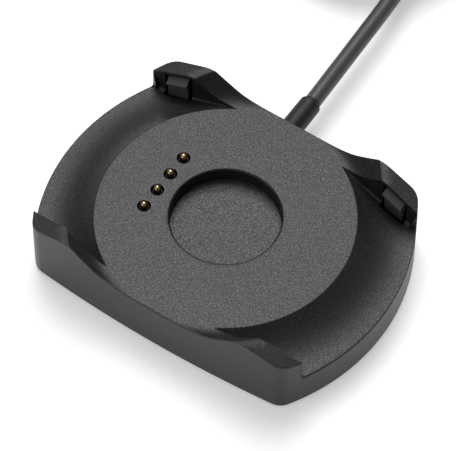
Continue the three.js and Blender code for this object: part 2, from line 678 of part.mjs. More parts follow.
// The plug: its boot, its moulded grip and the standard metal shell with its tongue and contacts.
const PLUG_BOOT_LENGTH = 9;
const PLUG_BOOT_RADII = [2.1, 2.7];
const OVERMOULD_LENGTH = 24;
const OVERMOULD_WIDTH = 15.6;
const OVERMOULD_HEIGHT = 7.4;
const OVERMOULD_CORNER = 2.2;
const SHELL_LENGTH = 18.75;
const SHELL_WIDTH = 12;
const SHELL_HEIGHT = 4.5;
const SHELL_CORNER = 0.5;
const SHELL_WALL = 0.35;
const SHELL_WINDOW = 2.3;
const SHELL_WINDOW_X = 8.5;
const SHELL_WINDOW_Y = 2.9;
const TONGUE_WIDTH = 11.1;
const TONGUE_THICKNESS = 1.7;
const TONGUE_DROP = 0.95;
const TONGUE_SHORTFALL = 1.4;
const CONTACT_YS = [-3.5, -1, 1, 3.5];
const CONTACT_LENGTHS = [9, 8, 8, 9];
const CONTACT_HALF_WIDTH = 0.5;
const CONTACT_THICKNESS = 0.2;
const CONTACT_START = 8;
const OVERMOULD_X = PLUG_START_X + PLUG_BOOT_LENGTH;
const SHELL_X = OVERMOULD_X + OVERMOULD_LENGTH;

// An outline in Y and Z, carried along +X from x0, at the plug's own height and line.
function plugPrism(shape, x0, length) {
  const options = { depth: length, bevelEnabled: false, curveSegments: 4 };
  const geometry = new THREE.ExtrudeGeometry(shape, options);
  geometry.rotateZ(Math.PI / 2);
  geometry.rotateY(Math.PI / 2);
  return solid(geometry.translate(x0, PLUG_Y, PLUG_Z));
}

const plugOvermould = () => plugPrism(
  roundedRectangle(OVERMOULD_WIDTH, OVERMOULD_HEIGHT, OVERMOULD_CORNER), OVERMOULD_X, OVERMOULD_LENGTH,
);

function plugBoot() {
  const length = PLUG_BOOT_LENGTH - 0.1;
  const profile = [[0, 0], [PLUG_BOOT_RADII[0], 0], [PLUG_BOOT_RADII[1], length], [0, length]];
  const geometry = new THREE.LatheGeometry(profile.map(([r, y]) => new THREE.Vector2(r, y)), SMALL_STEPS);
  return solid(geometry.rotateZ(-Math.PI / 2).translate(PLUG_START_X, PLUG_Y, PLUG_Z));
}

// The metal shell, with the two square windows that a socket's springs catch in.
function plugShell() {
  const [width, height] = [SHELL_WIDTH - 2 * SHELL_WALL, SHELL_HEIGHT - 2 * SHELL_WALL];
  const section = roundedRectangle(SHELL_WIDTH, SHELL_HEIGHT, SHELL_CORNER);
  const opening = roundedRectangle(width, height, SHELL_CORNER - 0.2);
  const skin = plugPrism(section, SHELL_X + 0.1, SHELL_LENGTH);
  let shell = skin.subtract(plugPrism(opening, SHELL_X, FAR));
  for (const side of [-1, 1]) {
    const [x, y] = [SHELL_X + SHELL_WINDOW_X, PLUG_Y + side * SHELL_WINDOW_Y];
    const half = SHELL_WINDOW / 2;
    shell = shell.subtract(box(x, x + SHELL_WINDOW, y - half, y + half, PLUG_Z, PLUG_Z + SHELL_HEIGHT));
  }
  return shell;
}

const plugTongue = () => plugPrism(
  roundedRectangle(TONGUE_WIDTH, TONGUE_THICKNESS, 0.2), SHELL_X + 0.2, SHELL_LENGTH - TONGUE_SHORTFALL,
).translate(0, 0, -TONGUE_DROP);

function plugContact(index) {
  const [x, y] = [SHELL_X + CONTACT_START, PLUG_Y + CONTACT_YS[index]];
  const z = PLUG_Z - TONGUE_DROP + TONGUE_THICKNESS / 2 + 0.05;
  const half = CONTACT_HALF_WIDTH;
  return box(x, x + CONTACT_LENGTHS[index], y - half, y + half, z, z + CONTACT_THICKNESS);
}

// ---------- assembly ----------

const dock = new THREE.Group();

function add(name, shape, material) {
  const geometry = shape instanceof THREE.BufferGeometry ? shape : geometryOf(shape);
  const mesh = new THREE.Mesh(geometry, material);
  mesh.name = name;
  dock.add(mesh);
}

add('outer_shell', outerShell(), satinBlack);
add('top_deck', topDeck(), sparkBlack);
add('bottom_cover', bottomCover(), moulding);

pinRows().forEach((y, i) => {
  add(`pin_barrel_${i + 1}`, barrel(y), brass);
  add(`pin_plunger_${i + 1}`, plunger(y), gold);
  add(`pin_spring_${i + 1}`, pinSpring(y), steel);
});
add('pin_block', pinBlock(), moulding);
add('circuit_board', circuitBoard(), boardGreen);
add('charge_chip', component(-7.6, -4.6, -2, 2, 1.0), chipBlack);
add('capacitor_1', component(-18.6, -17.0, 3.2, 4.2, 0.8), ceramic);
add('capacitor_2', component(-18.6, -17.0, -4.2, -3.2, 0.8), ceramic);
WIRE_COLOURS.forEach(([colour, hex], i) => add(`wire_${colour}`, wire(i), finish(hex, 0.5, 0)));

for (const { name, sx, sy } of posts) {
  add(`latch_${name}`, solid(atPost(geometryOf(latch()), sx, sy, LATCH_AXIS_Z)), moulding);
  add(`screw_${name}`, screw(sx * SCREW_X, sy * SCREW_Y), steel);
  add(`foot_${name}`, foot(sx * FOOT_X, sy * FOOT_Y), rubber);
}

add('strain_relief', strainRelief(), rubber);
add('lead_near', lead(NEAR_STRETCH, 12), jacket);
add('lead_coil', leadCoil(), jacket);
add('lead_far', lead(FAR_STRETCH, 24), jacket);
add('coil_tie', coilTie(), moulding);
add('plug_boot', plugBoot(), rubber);
add('plug_overmould', plugOvermould(), moulding);
add('plug_shell', plugShell(), steel);
add('plug_tongue', plugTongue(), moulding);
CONTACT_YS.forEach((_, i) => add(`plug_contact_${i + 1}`, plugContact(i), gold));

export default dock;
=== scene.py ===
"""The looks of a watch charging dock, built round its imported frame.

The scene is in metres, +Z up. Sub-assemblies hold their sizes in millimetres, as a drawing does,
and turn them to metres where a mesh is laid.
"""
import json
import logging
import math
from dataclasses import dataclass, field
from enum import Enum
from typing import Sequence

import bmesh
import bpy
import numpy as np
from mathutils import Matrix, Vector


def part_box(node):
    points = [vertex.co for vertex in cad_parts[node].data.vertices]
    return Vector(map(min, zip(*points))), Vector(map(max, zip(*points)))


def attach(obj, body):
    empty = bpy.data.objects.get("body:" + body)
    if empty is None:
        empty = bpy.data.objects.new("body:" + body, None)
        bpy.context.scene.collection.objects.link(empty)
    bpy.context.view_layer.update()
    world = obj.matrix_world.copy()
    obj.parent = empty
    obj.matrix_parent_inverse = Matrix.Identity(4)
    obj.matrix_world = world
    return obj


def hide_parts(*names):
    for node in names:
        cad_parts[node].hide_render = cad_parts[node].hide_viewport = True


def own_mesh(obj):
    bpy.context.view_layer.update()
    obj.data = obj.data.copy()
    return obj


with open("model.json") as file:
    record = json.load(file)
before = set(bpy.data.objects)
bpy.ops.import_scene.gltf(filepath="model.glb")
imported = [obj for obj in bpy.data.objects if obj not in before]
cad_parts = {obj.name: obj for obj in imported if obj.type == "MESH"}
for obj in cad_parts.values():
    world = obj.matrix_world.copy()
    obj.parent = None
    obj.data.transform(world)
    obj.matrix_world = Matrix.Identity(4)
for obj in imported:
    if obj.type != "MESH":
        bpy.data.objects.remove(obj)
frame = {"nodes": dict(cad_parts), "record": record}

logging.basicConfig(level=logging.INFO, format="%(message)s")
log = logging.getLogger("dock")

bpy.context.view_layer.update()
MM = 0.001
POSTS = [(end, side) for side in ("left", "right") for end in ("front", "back")]
SIGN = {"left": -1, "right": 1, "front": -1, "back": 1}


def mount_z(name: str) -> float:
    """Height of one of the record's mounts, in millimetres."""
    found = next(m for m in frame["record"]["mounts"] if m["name"] == name)
    return found["pos_m"][2] / MM


# ---------- finishes ----------


def linear(hex_colour: str) -> tuple[float, float, float, float]:
    """Turns an sRGB hex colour to linear.

    Args:
        hex_colour: six hex digits after a #.

    Returns:
        Red, green, blue and alpha, from 0 to 1.
    """
    parts = [int(hex_colour[i:i + 2], 16) / 255 for i in (1, 3, 5)]
    return (*[c / 12.92 if c <= 0.04045 else ((c + 0.055) / 1.055) ** 2.4 for c in parts], 1.0)


def lighter(colour: Sequence[float], gain: float, lift: float) -> tuple[float, ...]:
    """A linear colour made lighter by a share of itself and by a fixed amount."""
    return (*[min(1.0, c * (1 + gain) + lift) for c in colour[:3]], 1.0)


def add_node(tree: bpy.types.NodeTree, kind: str, settings: dict, links: dict) -> bpy.types.Node:
    """Adds one node with its settings and incoming links.

    Args:
        tree: the material's node tree.
        kind: the node's type.
        settings: attribute or socket names with their values.
        links: input socket names with the output sockets that feed them.

    Returns:
        The new node.
    """
    made = tree.nodes.new(kind)
    for name, value in settings.items():
        if name in made.inputs:
            made.inputs[name].default_value = value
        else:
            setattr(made, name, value)
    for name, source in links.items():
        tree.links.new(source, made.inputs[name])
    return made


@dataclass(frozen=True)
class Finish:
    """A surface finish: what it is made of and the marks that its making leaves.

    Mottle is how uneven the colour is, edge_lift how much rubbed edges pale, and the painted sparkle
    how much the tops of the grain are painted paler: a painted glint where light would catch them.
    """

    name: str
    colour: str
    roughness: float
    metallic: float = 0.0
    ior: float = 1.5
    grain_mm: float = 0.2
    grain_depth_mm: float = 0.004
    mottle: float = 0.12
    roughness_spread: float = 0.08
    edge_lift: float = 0.25
    painted_sparkle: float = 0.0
    patch_mm: float = 7.0
    rub_lift: float = 0.03
    edge_from: float = 0.53
    edge_to: float = 0.62

    def material(self) -> bpy.types.Material:
        """Builds the finish's material, or returns the one built before."""
        known = bpy.data.materials.get(self.name)
        if known:
            return known
        made = bpy.data.materials.new(self.name)
        made.use_nodes = True
        tree = made.node_tree
        shader = tree.nodes["Principled BSDF"]
        place = add_node(tree, "ShaderNodeTexCoord", {}, {}).outputs["Object"]
        grain = self._grain(tree, place)
        self._colour(tree, shader, place, grain)
        self._roughness(tree, shader, grain)
        relief = add_node(tree, "ShaderNodeBump", {
            "Strength": 1.0, "Distance": self.grain_depth_mm * MM,
        }, {"Height": grain})
        tree.links.new(relief.outputs["Normal"], shader.inputs["Normal"])
        shader.inputs["Metallic"].default_value = self.metallic
        if not self.metallic:
            shader.inputs["IOR"].default_value = self.ior
        return made

    def _grain(self, tree: bpy.types.NodeTree, place: bpy.types.NodeSocket) -> bpy.types.NodeSocket:
        """Fine relief: rounded bumps at the grain's width, with a finer layer on them."""
        bumps = add_node(tree, "ShaderNodeTexNoise", {
            "Scale": 1 / (self.grain_mm * MM), "Detail": 2.0, "Roughness": 0.6,
        }, {"Vector": place})
        return bumps.outputs["Fac"]

    def _colour(self, tree: bpy.types.NodeTree, shader: bpy.types.Node, place: bpy.types.NodeSocket,
                grain: bpy.types.NodeSocket) -> None:
        """Colours the surface: uneven over several millimetres, paler on rubbed edges, and painted paler
        on grain tops as a painted glint.

        Args:
            tree: the material's node tree.
            shader: the shader that takes the colour.
            place: where each point is on the object.
            grain: the height of the fine relief.
        """
        base = linear(self.colour)
        patches = add_node(tree, "ShaderNodeTexNoise", {
            "Scale": 1 / (self.patch_mm * MM), "Detail": 3.0,
        }, {"Vector": place})
        uneven = add_node(tree, "ShaderNodeMixRGB", {
            "Color1": base, "Color2": lighter(base, self.mottle, 0),
        }, {"Fac": patches.outputs["Fac"]})
        edges = add_node(tree, "ShaderNodeNewGeometry", {}, {}).outputs["Pointiness"]
        rubbed = add_node(tree, "ShaderNodeMapRange", {
            "From Min": self.edge_from, "From Max": self.edge_to, "To Min": 0.0, "To Max": self.edge_lift,
        }, {"Value": edges})
        worn = add_node(tree, "ShaderNodeMixRGB", {
            "Color2": lighter(base, self.mottle, self.rub_lift * self.edge_lift),
        }, {"Color1": uneven.outputs["Color"], "Fac": rubbed.outputs["Result"]})
        # Painted sparkle: the tops of the grain are painted paler, a painted glint where light would
        # catch them.
        tops = add_node(tree, "ShaderNodeMapRange", {
            "From Min": 0.5, "From Max": 0.75, "To Min": 0.0, "To Max": 1.0,
        }, {"Value": grain})
        sparkle_painted = add_node(tree, "ShaderNodeMixRGB", {"Color2": lighter(base, 0, self.painted_sparkle)},
                            {"Color1": worn.outputs["Color"], "Fac": tops.outputs["Result"]})
        tree.links.new(sparkle_painted.outputs["Color"], shader.inputs["Base Color"])

    def _roughness(self, tree: bpy.types.NodeTree, shader: bpy.types.Node,
                   grain: bpy.types.NodeSocket) -> None:
        """Makes the roughness follow the grain: its hollows are duller than its tops.

        Args:
            tree: the material's node tree.
            shader: the shader that takes the roughness.
            grain: the height of the fine relief.
        """
        spread = self.roughness_spread
        varied = add_node(tree, "ShaderNodeMapRange", {
            "From Min": 0.3, "From Max": 0.7,
            "To Min": min(1.0, self.roughness + spread), "To Max": max(0.02, self.roughness - spread),
        }, {"Value": grain})
        tree.links.new(varied.outputs["Result"], shader.inputs["Roughness"])


class Finishes(Enum):
    """Every finish on the dock, its lead and its plug."""

    # ABS moulded in a spark-eroded tool: an even, sparkling pebble grain with a dull sheen. The real
    # grain is about 0.1 mm wide, and is drawn at 0.24 mm because the finer one wouldn't show.
    # Its grain tops are painted paler: a painted sparkle, not a colour of the plastic.
    SPARK_ABS = Finish("spark_eroded_abs", "#161617", 0.44, grain_mm=0.24, grain_depth_mm=0.046,
                       roughness_spread=0.14, painted_sparkle=0.05)
    # ABS moulded in a lightly blasted tool: smoother and a touch bluish.
    SATIN_ABS = Finish("blasted_satin_abs", "#18191d", 0.4, ior=1.45, grain_depth_mm=0.006)
    # Acetal, moulded smooth: the springy latches.
    LATCH_ACETAL = Finish("moulded_acetal", "#4c4c50", 0.42, grain_mm=0.3, grain_depth_mm=0.002)
    # ABS without grain, as on inner mouldings and the bottom cover.
    INNER_ABS = Finish("moulded_abs", "#161617", 0.5, grain_mm=0.22, grain_depth_mm=0.006)
    # Thermoplastic elastomer, matt and very dark: the boots.
    BOOT_TPE = Finish("moulded_tpe", "#121213", 0.55, grain_mm=0.25, grain_depth_mm=0.008, mottle=0.3)
    # Extruded elastomer jacket: a soft broad sheen along the lead.
    JACKET_TPE = Finish("extruded_tpe_jacket", "#47474a", 0.45, grain_mm=0.4, grain_depth_mm=0.003)
    # Silicone rubber pads.
    SILICONE = Finish("silicone_rubber", "#1a1a1b", 0.7, grain_mm=0.3, grain_depth_mm=0.006)
    # Gold plated over nickel: a bright, pale yellow metal that is hardly textured.
    GOLD = Finish("hard_gold_plate", "#cdb188", 0.24, metallic=1.0, grain_mm=0.12,
                  grain_depth_mm=0.001, roughness_spread=0.05)
    # Brass painted nearly black: painted shade, so that each pin's hole reads dark round the pin.
    DARK_BRASS = Finish("brass_painted_as_hole_shade", "#1a140c", 0.5, metallic=1.0, grain_depth_mm=0.002)
    # Drawn steel wire.
    SPRING_STEEL = Finish("drawn_steel_wire", "#b4b6ba", 0.3, metallic=1.0, grain_depth_mm=0.001)
    # Zinc-plated screw steel.
    ZINC = Finish("zinc_plated_steel", "#a3a6aa", 0.38, metallic=1.0, grain_depth_mm=0.002)
    # Nickel plate on stamped steel.
    NICKEL = Finish("nickel_plate", "#c9c8c4", 0.22, metallic=1.0, grain_depth_mm=0.001,
                    roughness_spread=0.05)
    # Green solder mask on glass-epoxy board.
    SOLDER_MASK = Finish("solder_mask", "#1d5533", 0.3, grain_mm=0.5, grain_depth_mm=0.004)
    # Moulded epoxy chip body.
    EPOXY = Finish("moulded_epoxy", "#18181a", 0.55)
    # Fired ceramic capacitor body.
    CERAMIC = Finish("fired_ceramic", "#b1966c", 0.5)
    # PBT carrier of the plug's contacts.
    PBT = Finish("moulded_pbt", "#1c1c1e", 0.45)
    # Woven nylon hook-and-loop strap.
    NYLON_LOOP = Finish("woven_nylon_strap", "#1d1d1f", 0.85, grain_mm=0.35, grain_depth_mm=0.06,
                        mottle=0.4)
    # PVC wire insulation, one colour a wire.
    WIRE_RED = Finish("pvc_red", "#a0251f", 0.4)
    WIRE_WHITE = Finish("pvc_white", "#d8d8d2", 0.4)
    WIRE_GREEN = Finish("pvc_green", "#1f7a40", 0.4)
    WIRE_BLACK = Finish("pvc_black", "#19191a", 0.4)


def dress(piece: bpy.types.Object, finish: Finishes) -> None:
    """Gives a piece one finish all over."""
    piece.data.materials.clear()
    piece.data.materials.append(finish.value.material())


def paint_node(node: str, finish: Finishes) -> None:
    """Gives a CAD node a finish in its own material slots.

    Args:
        node: the node's name.
        finish: what it is made of.
    """
    for slot in frame["nodes"][node].material_slots:
        slot.material = finish.value.material()
    if not frame["nodes"][node].material_slots:
        dress(frame["nodes"][node], finish)


# ---------- modelling ----------


def deselect_all() -> None:
    """Leaves nothing selected, so that the next operator acts on its own piece only."""
    if bpy.context.object and bpy.context.object.mode != "OBJECT":
        bpy.ops.object.mode_set(mode="OBJECT")
    bpy.ops.object.select_all(action="DESELECT")


def choose(piece: bpy.types.Object) -> None:
    """Makes one piece the only selected and active one."""
    deselect_all()
    piece.select_set(True)
    bpy.context.view_layer.objects.active = piece


def ring_of(edit: bmesh.types.BMesh, points: np.ndarray,
            before: dict[int, int] | None) -> dict[int, int]:
    """Lays the selected loop of vertices on its points, in the loop's own order.

    Args:
        edit: the mesh being edited.
        points: one point in millimetres for each vertex of the loop.
        before: vertex number to place in the loop, for the loop that this one was pulled from.

    Returns:
        Vertex number to place in the loop, for this one.
    """
    edit.verts.ensure_lookup_table()
    chosen = [v for v in edit.verts if v.select]
    order = {}
    for i, vertex in enumerate(chosen):
        place = i
        if before is not None:
            source = next(e.other_vert(vertex) for e in vertex.link_edges
                          if e.other_vert(vertex).index in before)
            place = before[source.index]
        order[vertex.index] = place
    for vertex in chosen:
        vertex.co = Vector(points[order[vertex.index]]) * MM
    return order


def loft(name: str, rings: Sequence[np.ndarray], looped: bool = False) -> bpy.types.Object:
    """Pulls a closed surface out of one circle, ring by ring.

    Args:
        name: the piece's name.
        rings: the loops in order, each with the same number of points, in millimetres.
        looped: whether the last ring joins the first, as on a tube. Otherwise both are filled.

    Returns:
        The piece, with its place in its mesh.
    """
    deselect_all()
    bpy.ops.mesh.primitive_circle_add(vertices=len(rings[0]), radius=MM)
    piece = bpy.context.object
    piece.name = name
    bpy.ops.object.mode_set(mode="EDIT")
    bpy.ops.mesh.select_all(action="SELECT")
    edit = bmesh.from_edit_mesh(piece.data)
    order = ring_of(edit, rings[0], None)
    first = set(order)
    for points in rings[1:]:
        select_only(piece, set(order))
        bpy.ops.mesh.extrude_edges_move()
        edit = bmesh.from_edit_mesh(piece.data)
        edit.verts.index_update()
        order = ring_of(edit, points, order)
    if looped:
        select_only(piece, first | set(order))
        bpy.ops.mesh.bridge_edge_loops()
    else:
        for end in (first, set(order)):
            select_only(piece, end)
            bpy.ops.mesh.edge_face_add()
    close_up(piece)
    return piece


def select_only(piece: bpy.types.Object, indices: set[int]) -> None:
    """Selects some vertices of the mesh in edit mode, and the edges between them.

    Args:
        piece: the piece in edit mode.
        indices: the vertices' numbers.
    """
    bpy.ops.mesh.select_all(action="DESELECT")
    edit = bmesh.from_edit_mesh(piece.data)
    edit.verts.ensure_lookup_table()
    for index in indices:
        edit.verts[index].select = True
    edit.select_flush(True)


def close_up(piece: bpy.types.Object) -> None:
    """Merges what coincides, turns the faces outwards and leaves edit mode."""
    if piece.mode != "EDIT":
        choose(piece)
        bpy.ops.object.mode_set(mode="EDIT")
    bpy.ops.mesh.select_all(action="SELECT")
    bpy.ops.mesh.remove_doubles(threshold=2e-6)
    bpy.ops.mesh.dissolve_degenerate(threshold=1e-7)
    bpy.ops.mesh.normals_make_consistent(inside=False)
    bpy.ops.object.mode_set(mode="OBJECT")


def apply_modifier(piece: bpy.types.Object, kind: str, **settings: object) -> None:
    """Adds a modifier and applies it.

    Args:
        piece: the piece that it changes.
        kind: the modifier's type.
        settings: its settings by name.
    """
    choose(piece)
    bpy.ops.object.modifier_add(type=kind)
    modifier = piece.modifiers[-1]
    for key, value in settings.items():
        setattr(modifier, key, value)
    bpy.ops.object.modifier_apply(modifier=modifier.name)


def smooth(piece: bpy.types.Object, angle_deg: float = 32) -> None:
    """Shades round faces smooth, and keeps flats flat beside them."""
    choose(piece)
    bpy.ops.object.shade_smooth_by_angle(angle=math.radians(angle_deg))
    apply_modifier(piece, "WEIGHTED_NORMAL", keep_sharp=True, weight=60)


def cut(piece: bpy.types.Object, tools: Sequence[bpy.types.Object],
        operation: str = "DIFFERENCE") -> None:
    """Cuts the tools out of a piece, or joins them to it, and removes them.

    Args:
        piece: the piece that is cut.
        tools: the closed bodies to cut with.
        operation: DIFFERENCE to cut them out or UNION to join them on.
    """
    for tool in tools:
        apply_modifier(piece, "BOOLEAN", operation=operation, object=tool, solver="EXACT")
        bpy.data.objects.remove(tool)


def level(xy: np.ndarray, z: np.ndarray | float) -> np.ndarray:
    """One ring from its plan points and its heights."""
    return np.column_stack([xy, np.broadcast_to(z, len(xy))])


def circle_points(radius: float, steps: int) -> np.ndarray:
    """Points round a circle, in its own plane."""
    turn = np.linspace(0, 2 * math.pi, steps, endpoint=False)
    return np.stack([radius * np.cos(turn), radius * np.sin(turn)], axis=1)


class Axis(Enum):
    """The line that a round piece is turned about."""

    X = "x"
    Y = "y"
    Z = "z"


def turned(name: str, profile: Sequence[tuple[float, float]], centre: Sequence[float],
           axis: Axis = Axis.Z, steps: int = 48, looped: bool = False) -> bpy.types.Object:
    """A piece turned on a lathe.

    Args:
        name: the piece's name.
        profile: pairs of radius and place along the axis, in millimetres.
        centre: a point on the axis, in millimetres.
        axis: which way the axis points.
        steps: flats in a full turn.
        looped: whether the profile closes on itself, as on a ring.

    Returns:
        The piece.
    """
    rings = []
    for radius, along in profile:
        flat = circle_points(radius, steps)
        far = np.full(steps, along)
        columns = {
            Axis.X: (far, flat[:, 0], flat[:, 1]),
            Axis.Y: (flat[:, 0], far, flat[:, 1]),
            Axis.Z: (flat[:, 0], flat[:, 1], far),
        }[axis]
        rings.append(np.stack(columns, axis=1) + np.array(centre, float))
    return loft(name, rings, looped)


def rounding(radius: float, steps: int) -> list[tuple[float, float]]:
    """Shares of a quarter round: how far in and how far down each point is, from flat to side."""
    turns = [math.pi / 2 * k / steps for k in range(steps + 1)]
    return [(radius * math.sin(a), radius * (1 - math.cos(a))) for a in turns]


def polished_copy(node: str, name: str, edge_mm: float, segments: int = 2) -> bpy.types.Object:
    """A finer copy of a CAD node: its triangles joined up, and its edges rounded off.

    Args:
        node: the CAD node that it stands for.
        name: the new piece's name.
        edge_mm: how far its edges are rounded.
        segments: flats in each rounded edge.

    Returns:
        The piece, which rides where the node rides.
    """
    choose(frame["nodes"][node])
    bpy.ops.object.duplicate()
    piece = bpy.context.object
    for key in [k for k in piece.keys() if k.startswith("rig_")]:
        del piece[key]
    piece.parent = None
    piece.name = name
    bpy.ops.object.mode_set(mode="EDIT")
    bpy.ops.mesh.select_all(action="SELECT")
    bpy.ops.mesh.customdata_custom_splitnormals_clear()
    bpy.ops.mesh.remove_doubles(threshold=1e-6)
    bpy.ops.mesh.dissolve_limited(angle_limit=math.radians(1.0))
    bpy.ops.object.mode_set(mode="OBJECT")
    apply_modifier(piece, "BEVEL", width=edge_mm * MM, segments=segments, limit_method="ANGLE",
                   angle_limit=math.radians(40), use_clamp_overlap=True)
    smooth(piece)
    stand_for(piece, body_of_node(node), node)
    return piece


def body_of_node(node: str) -> str:
    """The CAD body that a node belongs to."""
    bodies = frame["record"]["behaviour"]["bodies"]
    return next(body for body, members in bodies.items() if node in members)


def stand_for(piece: bpy.types.Object, body: str, node: str) -> None:
    """Makes a piece ride on a body in a CAD node's place, and hides the node."""
    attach(piece, body)
    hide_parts(node)


# ---------- the camera and the lights ----------


@dataclass(frozen=True)
class Softbox:
    """A square light that faces the dock: its place in degrees, side in metres and power in watts.

    Its azimuth is counted from the camera's.
    """

    name: str
    azimuth_deg: float
    elevation_deg: float
    size: float
    power: float


@dataclass
class Studio:
    """A pale floor with soft lights, and the camera at the angle the dock is looked at from."""

    azimuth_deg: float = 33.85
    elevation_deg: float = 56.19
    distance_mm: float = 588
    lens_mm: float = 273
    aim_right_mm: float = 0.49
    aim_up_mm: float = 4.21
    sensor_mm: float = 36
    floor_size: float = 8.0
    floor_z: float = -0.00005
    floor_glow: float = 0.42
    room_light: float = 0.1
    light_distance: float = 1.2
    softboxes: tuple = (
        Softbox("key_behind", 182, 61, 0.8, 10.6),
        Softbox("overhead", 0, 88, 0.5, 1.2),
        Softbox("fill_front_left", -55, 26, 0.8, 2.2),
    )

    def axes(self) -> tuple[Vector, Vector, Vector]:
        """Works out how the camera is turned.

        Returns:
            The view's right, up and forward directions.
        """
        a, e = math.radians(self.azimuth_deg), math.radians(self.elevation_deg)
        right = Vector((math.cos(a), math.sin(a), 0))
        up = Vector((-math.sin(a) * math.sin(e), math.cos(a) * math.sin(e), math.cos(e)))
        return right, up, up.cross(right)

    def camera(self) -> None:
        """Places the camera."""
        right, up, forward = self.axes()
        aim = Vector((0, 0, mount_z("underside"))) + right * self.aim_right_mm + up * self.aim_up_mm
        data = bpy.data.cameras.new("camera")
        data.lens = self.lens_mm
        data.sensor_width = self.sensor_mm
        data.clip_start, data.clip_end = 0.01, 50
        camera = bpy.data.objects.new("camera", data)
        bpy.context.scene.collection.objects.link(camera)
        camera.location = (aim - forward * self.distance_mm) * MM
        camera.rotation_mode = "QUATERNION"
        camera.rotation_quaternion = forward.to_track_quat("-Z", "Y")
        bpy.context.scene.camera = camera
        log.info("camera placed")

    def light(self, box: Softbox) -> None:
        """Adds one softbox, turned to face the dock.

        Args:
            box: where it stands and how bright it is.
        """
        a, e = math.radians(self.azimuth_deg + box.azimuth_deg), math.radians(box.elevation_deg)
        back = Vector((math.sin(a) * math.cos(e), -math.cos(a) * math.cos(e), math.sin(e)))
        data = bpy.data.lights.new(box.name, "AREA")
        data.size = box.size
        data.energy = box.power
        lamp = bpy.data.objects.new(box.name, data)
        bpy.context.scene.collection.objects.link(lamp)
        lamp.location = back * self.light_distance
        lamp.rotation_mode = "QUATERNION"
        lamp.rotation_quaternion = (-back).to_track_quat("-Z", "Y")

    def build(self) -> None:
        """Lays the floor and sets the lights."""
        deselect_all()
        bpy.ops.mesh.primitive_plane_add(size=self.floor_size, location=(0, 0, self.floor_z))
        floor = bpy.context.object
        floor.name = "studio_floor"
        paper = bpy.data.materials.new("matt_white_paper")
        paper.use_nodes = True
        shader = paper.node_tree.nodes["Principled BSDF"]
        shader.inputs["Base Color"].default_value = (0.93, 0.93, 0.93, 1)
        shader.inputs["Roughness"].default_value = 0.9
        shader.inputs["Emission Color"].default_value = (1, 1, 1, 1)
        shader.inputs["Emission Strength"].default_value = self.floor_glow
        floor.data.materials.append(paper)
        world = bpy.data.worlds.new("soft_room")
        world.use_nodes = True
        world.node_tree.nodes["Background"].inputs["Color"].default_value = (1, 1, 1, 1)
        world.node_tree.nodes["Background"].inputs["Strength"].default_value = self.room_light
        bpy.context.scene.world = world
        bpy.context.scene.view_settings.view_transform = "Standard"
        for box in self.softboxes:
            self.light(box)
        log.info("studio lit")


# ---------- the lead ----------


